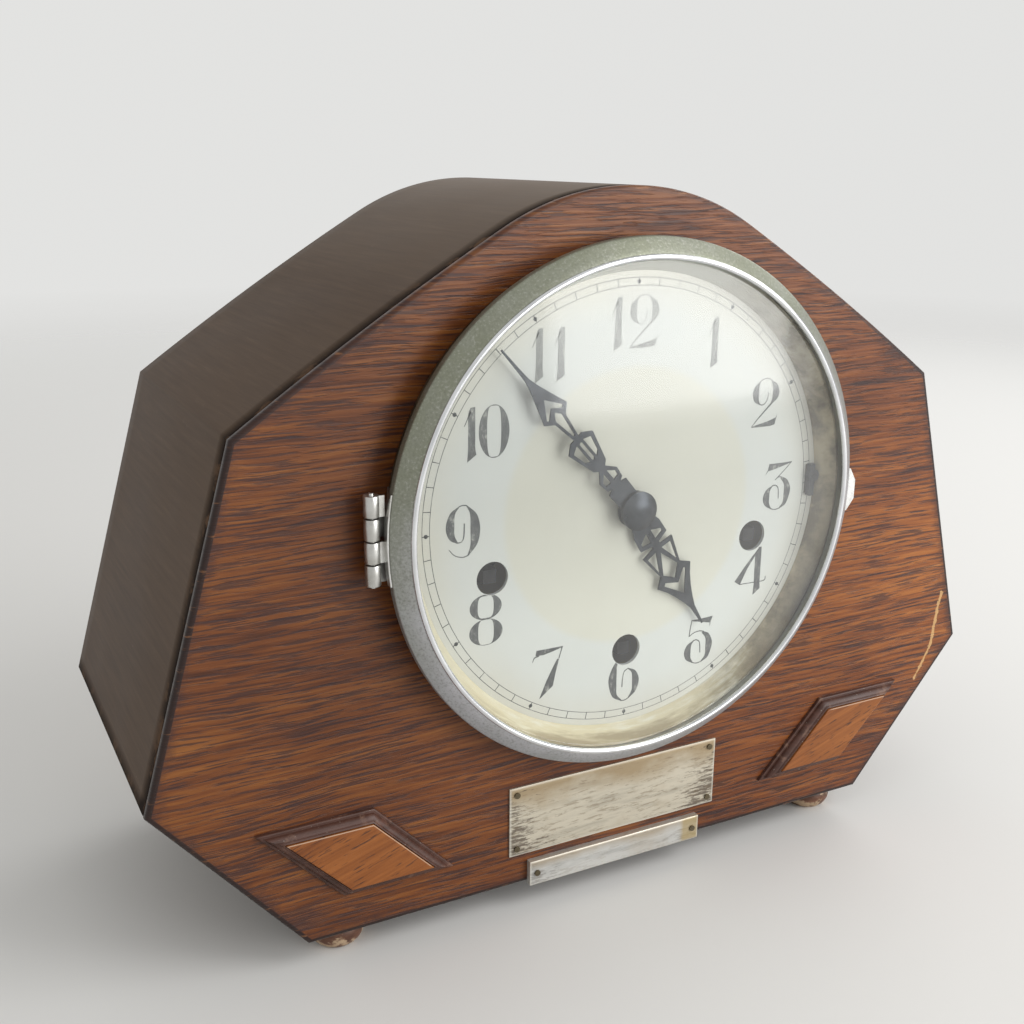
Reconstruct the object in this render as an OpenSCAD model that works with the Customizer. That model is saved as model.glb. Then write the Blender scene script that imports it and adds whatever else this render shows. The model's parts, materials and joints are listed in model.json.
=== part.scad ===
// Mantel clock with a six-sided case, a crowned top, a hinged round bezel and a
// three-train striking and chiming movement. Millimetres, +Z up, +Y to the back.
// The origin is under the middle of the case, on the surface that the feet stand on.

/* [Case] */
// Half of the case's width at its upper corners
upper_hw = 125.5; // [122:0.5:129]
// Half of the case's width at its widest corners
wide_hw = 155.5; // [151:0.5:160]
// Half of the case's width along its bottom edge
base_hw = 110; // [106:0.5:114]
// Height of the widest corners above the bottom edge
wide_z = 55; // [50:0.5:58]
// Height of the dial's centre above the bottom edge
dial_z = 127.5; // [126:0.5:131]
// Height of the crown above the dial's centre
crown_rise = 98.5; // [96:0.5:102]
// Radius of the bent crown
crown_r = 85; // [78:1:92]
// Radius of the two long slants of the top
slant_r = 1090; // [900:10:1400]
// Angle of the top where crown and slants meet
crown_angle = 30.4; // [29:0.2:32]
// Depth of the case
case_d = 120; // [116:1:126]
// Thickness of the case's boards
shell_t = 8; // [6:0.5:9]
// Thickness of the front board
board_t = 9; // [8:0.5:10]
// Thickness of the front board's lip, which laps over the case's edge
board_lip = 3; // [2:0.5:4]
// Height of the bun feet
foot_h = 9; // [8.5:0.5:16]
// Radius of the bun feet
foot_r = 9; // [7:0.5:11]
// Distance of each foot's centre from the ends of the base
foot_inset = 13; // [12:0.5:16]

/* [Applied ornaments] */
// Length of a lozenge block along its top edge
loz_w = 37; // [32:0.5:40]
// Height of a lozenge block
loz_h = 27.5; // [24:0.5:29]
// How far a lozenge block leans over its height
loz_lean = 26.5; // [22:0.5:29]
// Distance of a lozenge block's outer top corner from the case's middle
loz_x = 125; // [120:0.5:128]
// Height of a lozenge block's top edge above the bottom edge
loz_top_z = 42; // [38:0.5:44]
// How far a lozenge block stands out of the front
loz_d = 4.6; // [3.6:0.2:7]
// Width of the moulding round a lozenge's panel
loz_frame = 3.3; // [2.8:0.1:5]
// Width of the large plaque
plaque_w = 82; // [70:1:90]
// Height of the large plaque
plaque_h = 25; // [20:0.5:27]
// Height of the large plaque's bottom edge above the case's bottom edge
plaque_z = 11.3; // [10.5:0.1:13]
// Thickness of the large plaque
plaque_t = 0.8; // [0.5:0.1:1.5]
// Width of the small plaque
tag_w = 68; // [60:1:76]
// Height of the small plaque
tag_h = 8.8; // [7:0.2:10]
// Thickness of the small plaque
tag_t = 2.4; // [1.5:0.1:3]

/* [Dial and bezel] */
// Radius of the dial plate
dial_r = 74.2; // [73:0.1:75]
// Height of the dial's face in front of the case
dial_face = 3.5; // [3:0.1:4.5]
// Thickness of the dial plate
dial_t = 1.2; // [0.8:0.1:1.5]
// Radius of the winding holes
wind_hole_r = 5.3; // [4.5:0.1:6]
// How far the fixed ring, which the bezel closes on, reaches out beyond the dial
seat_w = 7.8; // [6.8:0.1:8.8]
// Height of the fixed ring
seat_h = 8.4; // [8:0.1:8.8]
// How far the bezel reaches out beyond the fixed ring
bezel_wall = 2.5; // [2:0.1:4]
// Height of the bezel's shoulder in front of the case
bezel_shoulder = 10; // [9.5:0.1:11]
// Height of the bezel's bright lip in front of the case
bezel_top = 14.4; // [13.8:0.1:15]
// How much wider than the dial the opening inside the bezel's lip is
eye_step = 3.5; // [3:0.1:4]
// How far the glass domes out in front of its edge
glass_dome = 7; // [4:0.5:10]
// Thickness of the glass
glass_t = 1.8; // [1.5:0.1:2.2]
/* [Hands] */
// Hour that the hands show
time_hour = 4; // [0:1:11]
// Minute that the hands show
time_minute = 53; // [0:1:59]
// Length of the minute hand from its centre to its tip
minute_len = 72; // [66:0.5:73]
// Length of the hour hand from its centre to its tip
hour_len = 52; // [46:0.5:56]
// Thickness of the hands
hand_t = 0.6; // [0.4:0.1:0.8]

/* [Movement] */
// Distance of the outer winding squares from the dial's centre line
wind_x = 49; // [47:0.5:51]
// Depth of the outer winding squares below the dial's centre
wind_z = 16.2; // [15:0.1:18]
// Depth of the middle winding square below the dial's centre
wind_mid_z = 48.6; // [47:0.1:50]
// Half width of the movement's plates
plate_hw = 76; // [74:0.5:80]
// Height of the plates above the dial's centre
plate_up = 34; // [32:0.5:38]
// Depth of the plates below the dial's centre
plate_down = 79; // [78:0.5:84]
// Thickness of the plates
plate_t = 2; // [1.6:0.1:2.4]
// Clear distance between the plates
plate_gap = 42; // [40:0.5:44]
// Length of the spacers between front board and front plate
spacer_l = 3; // [3:0.5:5]
// Radius of a mainspring barrel
barrel_r = 21; // [18:0.5:22]
// Radius of the escape wheel
escape_r = 8.5; // [8:0.1:9]
// Number of teeth of the escape wheel
escape_n = 38; // [30:1:42]
// Clear distance between the escape wheel's teeth and the resting pallets
pallet_clear = 1; // [0.9:0.1:1.2]
// Length of the pendulum from its suspension to the middle of its bob
pendulum_l = 108; // [100:1:114]
// Radius of the pendulum bob
bob_r = 16; // [13:0.5:18]

/* [Back] */
// Width of the back door
door_w = 198; // [192:1:202]
// Height of the back door
door_h = 138; // [132:1:140]
// Thickness of the back board and its door
back_t = 6; // [5:0.5:7]

/* [Clearances] */
// Gap between pieces that move past each other
gap = 0.3; // [0.2:0.05:0.4]
// Radial running clearance of a pin or arbor in its hole
run = 0.05; // [0.03:0.01:0.08]
// Gap round a fixed piece let into another
fit = 0.15; // [0.1:0.05:0.25]

/* [Hidden] */
$fn = 96;

// ---- Places in depth, as distances in front of the case's front face ----
lip_r = 0.9;                                      // radius of the bezel's rolled lip
glass_edge = bezel_top - 2 * lip_r - 0.1;         // outer face of the glass at its rim
glass_peak = glass_edge + glass_dome;
door_knuckle_r = 2.2;                             // knuckles of the door's hinges
front_y = (glass_peak - case_d - back_t - gap - door_knuckle_r) / 2;
dial_cz = foot_h + dial_z;
board_back = -board_t;
plate_front = board_back - spacer_l;              // front face of the front plate
plate_back = plate_front - 2 * plate_t - plate_gap; // back face of the back plate
inner_back = -case_d + back_t;                    // front face of the back board

// ---- Placing ----

// Puts a drawing of the front elevation, centred on the dial, d in front of the case;
// what is extruded grows forwards.
module fwd(d) {
  translate([0, front_y - d, dial_cz]) rotate([90, 0, 0]) children();
}

// The same, from depth d0 forwards to d1.
module slab(d0, d1) {
  fwd(d0) linear_extrude(height = d1 - d0) children();
}

// The same as slab, moved to a point of the front elevation.
module slab_at(p, d0, d1) {
  fwd(d0) translate([p[0], p[1], 0]) linear_extrude(height = d1 - d0) children();
}

// A ring or disc about point p between two depths.
module ring_at(p, r_out, r_in, d0, d1) {
  fwd(d0) translate([p[0], p[1], 0]) difference() {
    cylinder(r = r_out, h = d1 - d0);
    if (r_in > 0) translate([0, 0, -1]) cylinder(r = r_in, h = d1 - d0 + 2);
  }
}

module ring(r_out, r_in, d0, d1) {
  ring_at([0, 0], r_out, r_in, d0, d1);
}

// ---- Case outline ----

function unit(a) = [cos(a), sin(a)];
function line_dir(p, q) = (q - p) / norm(q - p);
// The line from p to q moved to its left by t, as a point and a direction.
function moved(p, q, t) = [p + t * [-line_dir(p, q)[1], line_dir(p, q)[0]], line_dir(p, q)];
function cross2(a, b) = a[0] * b[1] - a[1] * b[0];
// Where two such lines meet.
function meet(l1, l2) = l1[0] + l1[1] * cross2(l2[0] - l1[0], l2[1]) / cross2(l1[1], l2[1]);
// Where such a line leaves a circle, going along it.
function meet_arc(l, c, r) =
  let (b = (l[0] - c) * l[1], q = (l[0] - c) * (l[0] - c) - r * r)
  l[0] + l[1] * (-b + sqrt(b * b - q));

crown_c = [0, crown_rise - crown_r];
slant_c = crown_c - (slant_r - crown_r) * [sin(crown_angle), cos(crown_angle)];
upper_pt = [upper_hw, slant_c[1] + sqrt(pow(slant_r, 2) - pow(upper_hw - slant_c[0], 2))];
wide_pt = [wide_hw, wide_z - dial_z];
base_pt = [base_hw, -dial_z];
tangent_z = crown_c[1] + crown_r * cos(crown_angle);

// Corners of the right half, moved inwards by t: upper, widest and bottom corner.
function upper_in(t) = meet_arc(moved(wide_pt, upper_pt, t), slant_c, slant_r - t);
function wide_in(t) = meet(moved(base_pt, wide_pt, t), moved(wide_pt, upper_pt, t));
function base_in(t) = meet(moved([0, -dial_z], base_pt, t), moved(base_pt, wide_pt, t));
function flip(p) = [-p[0], p[1]];

// The case's outline moved inwards by t: two long slants below the height where the
// crown begins, and the crown's own disc, which touches both slants there.
module outline(t) {
  intersection() {
    polygon([flip(base_in(t)), base_in(t), wide_in(t), upper_in(t),
             [upper_in(t)[0], tangent_z], [-upper_in(t)[0], tangent_z],
             flip(upper_in(t)), flip(wide_in(t))]);
    translate(slant_c) circle(r = slant_r - t, $fn = 3600);
    translate(flip(slant_c)) circle(r = slant_r - t, $fn = 3600);
  }
  translate(crown_c) circle(r = crown_r - t, $fn = 360);
}

// ---- Boards of the case ----

seat_r = dial_r + seat_w;              // outer radius of the fixed ring
bezel_r = seat_r + bezel_wall;         // outer radius of the bezel
bezel_eye = dial_r + eye_step;         // radius of the opening inside the bezel's lip
board_eye = dial_r + gap;              // radius of the opening behind the dial

module front_board() {
  color("#8a5228") difference() {
    union() {
      slab(-board_lip, 0) outline(0);
      slab(-board_t, -board_lip) outline(shell_t + fit);
    }
    slab(-board_t - 1, 1) circle(r = board_eye);
    for (p = ear_pts) ring_at(p, screw_r + run, 0, -board_t - 1, -board_t + screw_in + 0.5);
  }
}

// The bent panel of the top, between the mitres at the upper corners.
module top_panel() {
  outer = 2 * upper_pt - upper_in(shell_t);
  color("#54493f") intersection() {
    slab(-case_d, -board_lip) difference() {
      outline(0);
      outline(shell_t);
    }
    slab(-case_d - 1, 0)
      polygon([upper_in(shell_t), outer, [outer[0], crown_rise + 20],
               [-outer[0], crown_rise + 20], flip(outer), flip(upper_in(shell_t))]);
  }
}

// A straight board of the right half between two corners, mitred at both.
module straight_board(a0, b0, a1, b1) {
  color("#54493f") slab(-case_d, -board_lip) polygon([a0, b0, b1, a1]);
}

module side_panel_right() {
  straight_board(wide_pt, upper_pt, wide_in(shell_t), upper_in(shell_t));
}

module side_panel_left() {
  mirror([1, 0, 0]) side_panel_right();
}

module lower_panel_right() {
  straight_board(base_pt, wide_pt, base_in(shell_t), wide_in(shell_t));
}

module lower_panel_left() {
  mirror([1, 0, 0]) lower_panel_right();
}

module base_board() {
  straight_board(flip(base_pt), base_pt, flip(base_in(shell_t)), base_in(shell_t));
}

// Blocks glued into the angle between front board and floor.
module glue_blocks() {
  block = 12;
  block_l = 40;
  color("#8c6f4e") for (s = [-1, 1])
    translate([s * 62 - block_l / 2, front_y + board_t, foot_h + shell_t])
      cube([block_l, block, block]);
}

// Turned feet, domed above and below their widest part.
module bun_feet() {
  color("#5a3420")
    for (sx = [-1, 1], y = [front_y + foot_inset, front_y + case_d - foot_inset])
      translate([sx * (base_hw - foot_inset), y, 0]) intersection() {
        cylinder(r = foot_r, h = foot_h);
        translate([0, 0, foot_h * 0.5]) sphere(r = foot_r);
      }
}

// ---- Lozenge blocks ----

// The right lozenge's outline moved inwards by t, outer top corner first.
function loz_pts(t) =
  let (top = loz_top_z - dial_z, low = top - loz_h,
       c = [[loz_x, top], [loz_x - loz_w, top], [loz_x - loz_w - loz_lean, low],
            [loz_x - loz_lean, low]])
  [for (i = [0:3]) meet(moved(c[(i + 3) % 4], c[i], t), moved(c[i], c[(i + 1) % 4], t))];

module loz_slab(t, d0, d1) {
  slab(d0, d1) polygon(loz_pts(t));
}

// Moulding with a low fillet and a rounded slope that rises to the panel.
module lozenge_frame_right() {
  steps = [[0, 0.28], [0.09, 0.34], [0.3, 0.46], [0.4, 0.6], [0.53, 0.72], [0.68, 0.84], [0.83, 0.9]];
  color("#4a2a1a") difference() {
    for (s = steps) loz_slab(loz_frame * s[0], 0, loz_d * s[1]);
    loz_slab(loz_frame, -1, loz_d + 1);
  }
}

module lozenge_frame_left() {
  mirror([1, 0, 0]) lozenge_frame_right();
}

// Panel with a small step round its front edge.
module lozenge_panel_right() {
  color("#a5632f") {
    loz_slab(loz_frame + fit, 0, loz_d - 0.35);
    loz_slab(loz_frame + fit + 0.35, 0, loz_d);
  }
}

module lozenge_panel_left() {
  mirror([1, 0, 0]) lozenge_panel_right();
}

// ---- Plaques ----

pin_r = 0.7;
pin_edge = 2.6;   // distance of the pins from the plaques' edges
pin_head_h = 0.5;
tag_z = -0.5;     // the small plaque's bottom edge, just past the case's
plaque_pin_pts = [for (sx = [-1, 1], z = [pin_edge, plaque_h - pin_edge])
  [sx * (plaque_w / 2 - pin_edge), plaque_z - dial_z + z]];
tag_pin_pts = [for (sx = [-1, 1]) [sx * (tag_w / 2 - pin_edge), tag_z - dial_z + tag_h / 2]];

module pinned_plate(w, h, z, t, pts) {
  difference() {
    slab(0, t) translate([-w / 2, z - dial_z]) square([w, h]);
    for (p = pts) slab_at(p, -1, t + 1) circle(r = pin_r + run, $fn = 24);
  }
}

module plaque_large() {
  color("#b5a98a") pinned_plate(plaque_w, plaque_h, plaque_z, plaque_t, plaque_pin_pts);
}

module plaque_small() {
  color("#b8b0a0") pinned_plate(tag_w, tag_h, tag_z, tag_t, tag_pin_pts);
}

module plaque_pin(p, t) {
  slab_at(p, 0, t + pin_head_h) circle(r = pin_r, $fn = 24);
  slab_at(p, t, t + pin_head_h) circle(r = pin_r * 1.5, $fn = 24);
}

module plaque_pins() {
  color("#6b5a3a") {
    for (p = plaque_pin_pts) plaque_pin(p, plaque_t);
    for (p = tag_pin_pts) plaque_pin(p, tag_t);
  }
}

// ---- Hand and motion-work places ----

arbor_r = 1.6;                         // centre arbor
cannon_r = 2.4;                        // pipe of the cannon pinion
hour_pipe_r = 3.5;                     // pipe of the hour wheel
hour_hand_d = dial_face + 1.6;
minute_hand_d = hour_hand_d + hand_t + 1.2;
cannon_n = 14;
minute_n = 42;
minute_pin_n = 12;
hour_n = 48;
motion_m = 0.6;
motion_dist = (cannon_n + minute_n) * motion_m / 2;
hour_m = 2 * motion_dist / (minute_pin_n + hour_n);
motion_dir = 52;                       // direction of the minute wheel's stud
minute_stud = motion_dist * unit(motion_dir);
stud_r = 1.5;
cannon_d = plate_front + 2;            // back face of the cannon pinion's leaves
hour_d = cannon_d + 3.4;               // back face of the hour wheel

// ---- Dial ----

wind_pts = [[-wind_x, -wind_z], [0, -wind_mid_z], [wind_x, -wind_z]];
dial_back = dial_face - dial_t;
foot_x = dial_r - 16.2;                // the dial's own feet
foot_pts = [[-foot_x, 22], [foot_x, 22], [-44, 4 - foot_x], [44, 4 - foot_x]];
dial_foot_r = 1.5;

// The lever that silences the chime swings in a short slot near the three.
lever_len = 36.2;      // from its pivot to its finger
lever_edge = 2.6;      // from its finger to the dial's edge
lever_pivot = [dial_r - lever_edge - lever_len, 1.2];
lever_swing = 6;       // its swing to either side of the level line
lever_w = 1;           // half width of its finger
lever_stud_r = 1.4;

// The slot that leaves the finger room over its whole swing.
module lever_slot() {
  w = lever_w + 0.4;
  h = lever_len * sin(lever_swing) + w;
  translate([lever_len - w, -h]) square([2 * w, 2 * h]);
}

module dial_plate() {
  color("#dedad0") {
    difference() {
      ring(dial_r, hour_pipe_r + 1, dial_back, dial_face);
      for (p = wind_pts) slab_at(p, 0, dial_face + 1) circle(r = wind_hole_r);
      slab_at(lever_pivot, 0, dial_face + 1) lever_slot();
    }
    for (p = foot_pts) slab_at(p, plate_front - plate_t - 1, dial_back + 0.2)
      circle(r = dial_foot_r, $fn = 32);
  }
}

module chime_lever() {
  arm_back = -0.2;
  arm_front = dial_back - gap;
  finger = [lever_len, 0];
  color("#3c3c3e") difference() {
    union() {
      slab_at(lever_pivot, arm_back, arm_front) {
        translate([0, -1.5]) square([lever_len, 3]);
        circle(r = 3.5, $fn = 48);
      }
      slab_at(lever_pivot + finger, arm_back, dial_face + 2.2) circle(r = lever_w, $fn = 32);
      slab_at(lever_pivot + finger, dial_face + gap, dial_face + 2.2) {
        translate([-1, -5.5]) square([2, 11]);
        translate([0.6, 1.5]) circle(r = 2.2, $fn = 32);
      }
    }
    slab_at(lever_pivot, -2, dial_face) circle(r = lever_stud_r + run, $fn = 32);
  }
}

// Fixed ring: a flange under the dial and an upright wall that the bezel closes over.
module bezel_seat() {
  wall = 2.4;
  flange_in = dial_r - lever_edge + lever_w + 0.5;
  color("#3d3a30") fwd(0) rotate_extrude()
    polygon([[flange_in, 0], [seat_r, 0], [seat_r, seat_h], [seat_r - wall, seat_h],
             [seat_r - wall, dial_back], [flange_in, dial_back]]);
}

// ---- Bezel ----

skirt_d = bezel_shoulder - 3.3;       // back edge of the bezel
glass_rim = bezel_eye + 0.8;          // radius of the glass's edge, held behind the lip
glass_seat = glass_rim + fit;         // bore of the bezel that takes the glass
bore_d = glass_edge - glass_t - 1.6;  // back end of that bore

module bezel_ring() {
  skirt_in = seat_r + gap;
  lip_c = [bezel_eye + lip_r, bezel_top - lip_r];
  color("#b8b9bb") fwd(0) rotate_extrude() union() {
    polygon([[skirt_in, skirt_d], [bezel_r, skirt_d], [bezel_r, bezel_shoulder - 0.5],
             [bezel_r - 0.5, bezel_shoulder], [lip_c[0] + lip_r * 0.6, bezel_top - 0.35],
             lip_c, [glass_seat, lip_c[1]], [glass_seat, bore_d],
             [glass_seat + 1, bore_d], [glass_seat + 1, glass_edge - 1.6],
             [skirt_in, seat_h + 0.5]]);
    translate(lip_c) circle(r = lip_r, $fn = 48);
  }
}

// Sloping silvered band behind the glass, pressed into the bezel's bore.
module sight_ring() {
  top = glass_edge - glass_t - gap;
  foot = dial_face + 0.5;
  in_r = dial_r + 0.5;
  color("#b9a878") fwd(0) rotate_extrude()
    polygon([[in_r, foot], [in_r + 0.9, foot], [glass_rim - 0.6, top - 1.4],
             [glass_rim, top - 1.4], [glass_rim, top], [bezel_eye - 0.1, top]]);
}

module bezel_glass() {
  dome_r = (pow(bezel_eye, 2) + pow(glass_dome, 2)) / (2 * glass_dome);
  color("#e8f0f0", 0.35) fwd(glass_peak) intersection() {
    translate([0, 0, -dome_r]) difference() {
      sphere(r = dome_r);
      sphere(r = dome_r - glass_t);
    }
    translate([0, 0, -glass_dome - glass_t - 2]) cylinder(r = glass_rim, h = 2 * glass_dome);
  }
}

// Small tongue for the thumb on the bezel's rim at the right.
module bezel_tab() {
  color("#d8dadb") slab(skirt_d + 0.3, skirt_d + 1.7) difference() {
    polygon([[bezel_r - 1, 5], [bezel_r + 1.6, 4.2], [bezel_r + 4, 0],
             [bezel_r + 4, -6.6], [bezel_r + 1, -10.6], [bezel_r - 2, -11]]);
    circle(r = bezel_r + 0.02);
  }
}

// ---- Bezel hinge ----

knuckle_r = 2.3;
hinge_pin_r = 0.8;
hinge_len = 27.2;
knuckles = 4;
knuckle_l = hinge_len / knuckles;
hinge_d = 6;                           // the hinge's axis in front of the case
hinge_x = bezel_r + 3.7;               // its distance from the dial's centre
hinge_z = 2;                           // and how far its middle lies above that centre
leaf_t = 0.5;

// Puts what follows on the hinge's axis, at a height from the dial's centre.
module at_hinge(z) {
  translate([-hinge_x, front_y - hinge_d, dial_cz + hinge_z + z]) children();
}

// Height of the bottom of knuckle i, counted from the top.
function knuckle_z(i) = hinge_len / 2 - (i + 1) * knuckle_l;

// A knuckle and a flat tongue that reaches from it to the right, at depth d.
module knuckle(i, reach, d) {
  at_hinge(knuckle_z(i) + 0.05) difference() {
    union() {
      cylinder(r = knuckle_r, h = knuckle_l - 0.1);
      translate([0, hinge_d - d - 0.9, 0]) cube([reach, 0.9, knuckle_l - 0.1]);
    }
    translate([0, 0, -1]) cylinder(r = hinge_pin_r + run, h = knuckle_l + 2, $fn = 48);
  }
}

// A thin strip bent round a ring of radius r, as high as the hinge.
module bent_leaf(r, d0, d1) {
  intersection() {
    ring(r + leaf_t, r, d0, d1);
    translate([-r - 5, front_y - 30, dial_cz + hinge_z - hinge_len / 2]) cube([20, 40, hinge_len]);
  }
}

module bezel_hinge_leaf() {
  tongue_d = hinge_d - 1.8;
  color("#c9cacc") difference() {
    union() {
      bent_leaf(seat_r + 0.02, 0.2, skirt_d - gap);
      for (i = [1, 3]) knuckle(i, hinge_x - seat_r + 1.6, tongue_d);
    }
    ring(seat_r + 0.02, 0, 0, skirt_d);
  }
}

module bezel_hinge_strap() {
  tongue_d = skirt_d + 0.5;
  color("#c9cacc") difference() {
    union() {
      bent_leaf(bezel_r + 0.02, skirt_d, bezel_shoulder - 0.6);
      for (i = [0, 2]) knuckle(i, hinge_x - bezel_r + 1.6, tongue_d);
    }
    ring(bezel_r + 0.02, 0, skirt_d - 1, bezel_shoulder + 1);
  }
}

module bezel_hinge_pin() {
  color("#a9abad") at_hinge(-hinge_len / 2 - 0.4)
    cylinder(r = hinge_pin_r, h = hinge_len + 0.8, $fn = 48);
}

// ---- Hands ----

minute_a = time_minute * 6;
hour_a = 30 * (time_hour + time_minute / 60);

// Turns a hand drawn pointing up to its place on the dial, clockwise from twelve.
module pointing(a) {
  rotate(-a) children();
}

// A closed shape from its right edge, from the tip down, with heights times k.
module both_edges(pts, k) {
  n = len(pts) - 1;
  polygon([for (p = concat(pts, [for (i = [n:-1:0]) flip(pts[i])])) [p[0], p[1] * k]]);
}

// The same shape on both sides, not joined, with heights times k.
module each_side(pts, k) {
  for (s = [-1, 1]) polygon([for (p = pts) [s * p[0], p[1] * k]]);
}

// Pierced hour hand: arrow head with a chevron, crossed bars in a kite, a square foot.
module hour_shape(k) {
  difference() {
    union() {
      both_edges([[0.3, 52.4], [0.85, 44.7], [1.9, 41], [3.5, 36.8], [5.2, 33.2],
                  [7.3, 29.9], [4.6, 27.2], [4.3, 26.6], [6.4, 17], [1.6, 16.4],
                  [1.4, 15.4], [5.6, 14.2], [5.4, 9], [4, 5]], k);
      circle(r = 6);
    }
    both_edges([[0.05, 38], [4.9, 30.6], [4, 29.8], [0.05, 33]], k);
    both_edges([[0.05, 30.8], [3.3, 27.1], [0.05, 19.6]], k);
    each_side([[3.9, 25.4], [5.1, 18.3], [1.2, 17.9]], k);
    each_side([[1, 14], [4.3, 13.2], [4.3, 12], [1, 10]], k);
  }
}

// Pierced minute hand: arrow head with a chevron, a long loop, a barb with three
// slots, a small kite and a foot.
module minute_shape(k) {
  difference() {
    both_edges([[0.25, 73.3], [0.5, 63.9], [0.7, 60.4], [1.55, 56.8], [3.1, 51.8],
                [5, 45.9], [2.3, 43.4], [1, 34.8], [2.5, 34.9], [5.4, 32.4],
                [2.8, 22], [1.3, 20.6], [3.9, 17], [3.4, 13.4], [1.8, 12.5],
                [3.9, 11.6], [3.6, 3]], k);
    both_edges([[0.05, 52], [3.6, 46.4], [2.9, 45.7], [0.05, 48.2]], k);
    both_edges([[0.05, 46.4], [1.5, 44.2], [0.3, 36], [0.05, 36]], k);
    both_edges([[0.05, 32.8], [0.6, 32.4], [0.6, 25.6], [0.05, 25]], k);
    each_side([[1.4, 33], [4, 31.6], [2.9, 26.4], [1.4, 25.2]], k);
    each_side([[0.7, 19], [2.9, 16.6], [2.6, 14.8], [0.7, 14.6]], k);
  }
}

module hour_hand() {
  color("#3f4246") difference() {
    union() {
      slab(hour_hand_d, hour_hand_d + hand_t) pointing(hour_a) hour_shape(hour_len / 52.4);
      ring(5, 0, hour_hand_d - 0.8, hour_hand_d + hand_t);
    }
    ring(hour_pipe_r + 0.01, 0, hour_hand_d - 2, hour_hand_d + 2);
  }
}

module minute_hand() {
  color("#3f4246") difference() {
    union() {
      slab(minute_hand_d, minute_hand_d + hand_t) pointing(minute_a)
        minute_shape(minute_len / 73.3);
      ring(5.2, 0, minute_hand_d - 0.3, minute_hand_d + hand_t);
    }
    ring(cannon_r + 0.01, 0, minute_hand_d - 1, minute_hand_d + 2);
  }
}

// Domed nut over the boss of the minute hand.
module hand_nut() {
  r = 6.3;
  rise = 1.8;
  base = minute_hand_d + hand_t + 0.01;
  ball = (r * r + rise * rise) / (2 * rise);
  color("#55585c") difference() {
    union() {
      ring(r, 0, base, base + 1.2);
      fwd(base + 1.2) intersection() {
        translate([0, 0, rise - ball]) sphere(r = ball);
        cylinder(r = r, h = 5);
      }
    }
    ring(cannon_r + 0.02, 0, base - 1, base + 2.4);
  }
}

// ---- Toothed wheels ----

pressure = 25; // pressure angle of all teeth
function inv_deg(a) = tan(a) * 180 / PI - a;

// Outline of n involute teeth of module m, the first centred on direction a0. Plain
// teeth, for the large wheels, run straight from root to tip.
function gear_pts(n, m, a0, plain = false) =
  let (rp = n * m / 2, rb = rp * cos(pressure), ra = rp + 0.8 * m, rf = rp - 1.1 * m,
       half = 90 / n - 3 / n + inv_deg(pressure),
       foot = half - (rf > rb ? inv_deg(acos(rb / rf)) : 0),
       mid = half - inv_deg(pressure), tip = half - inv_deg(acos(rb / ra)),
       edge = concat([[rf, foot]], rf < rb ? [[rb, foot]] : [],
                     plain ? [] : [[rp, mid]], [[ra, tip]]),
       e = len(edge) - 1)
  [for (k = [0:n - 1])
    for (q = concat([for (i = [0:e]) [edge[i][0], -edge[i][1]]],
                    [for (i = [e:-1:0]) edge[i]]))
      q[0] * unit(a0 + k * 360 / n + q[1])];

// Where a gear of nb teeth has a tooth, if it meshes at direction th with a gear of
// na teeth that has a tooth at a0.
function mesh_at(a0, na, th, nb) =
  let (f = (th - a0) * na / 360) th + 180 + (f - floor(f) - 0.5) * 360 / nb;

// ---- Motion work ----

module cannon_pinion() {
  color("#b59a52") difference() {
    union() {
      slab(cannon_d, cannon_d + 2.6) polygon(gear_pts(cannon_n, motion_m, motion_dir));
      ring(cannon_r, 0, cannon_d, minute_hand_d + hand_t + 2.2);
    }
    ring(arbor_r + 0.01, 0, cannon_d - 1, cannon_d + 14);
  }
}

module minute_wheel() {
  wheel_a = mesh_at(motion_dir, cannon_n, motion_dir, minute_n);
  color("#c2a24e") difference() {
    union() {
      slab_at(minute_stud, cannon_d + 0.4, cannon_d + 2)
        polygon(gear_pts(minute_n, motion_m, wheel_a));
      slab_at(minute_stud, cannon_d + 2, cannon_d + 5.4)
        polygon(gear_pts(minute_pin_n, hour_m, motion_dir + 180));
    }
    slab_at(minute_stud, cannon_d - 1, cannon_d + 7) circle(r = stud_r + run, $fn = 32);
  }
}

module hour_wheel() {
  wheel_a = mesh_at(motion_dir + 180, minute_pin_n, motion_dir + 180, hour_n);
  color("#c2a24e") difference() {
    union() {
      slab(hour_d, hour_d + 1.4) polygon(gear_pts(hour_n, hour_m, wheel_a));
      ring(hour_pipe_r, 0, hour_d, hour_hand_d + hand_t);
    }
    ring(cannon_r + run, 0, hour_d - 1, hour_hand_d + 3);
  }
}

// ---- Going train ----

// The point at distance ra from a and rb from b, to the left of the way from a to b.
function reach(a, ra, b, rb) =
  let (d = norm(b - a), u = (b - a) / d, s = (ra * ra - rb * rb + d * d) / (2 * d))
  a + s * u + sqrt(ra * ra - s * s) * [-u[1], u[0]];

function direction(a, b) = atan2(b[1] - a[1], b[0] - a[0]);

great_n = 84;
great_m = 0.6;
inter_pinion_n = 12;                   // intermediate arbor
inter_n = 72;
inter_m = 0.55;
center_pinion_n = 10;                  // centre arbor
center_n = 96;
center_m = 0.4;
fine_n = 8;                            // pinions of the third and the escape arbor
third_n = 96;
third_m = 0.35;
susp_z = 24;                           // pendulum's axis above the dial's centre
fine_r = 0.9;                          // the thin arbors and all pivots of the train
pallet_r = 1.1;                        // arbor of the pallets
pallet_span = 8.5;                     // teeth between the two pallets

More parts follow.
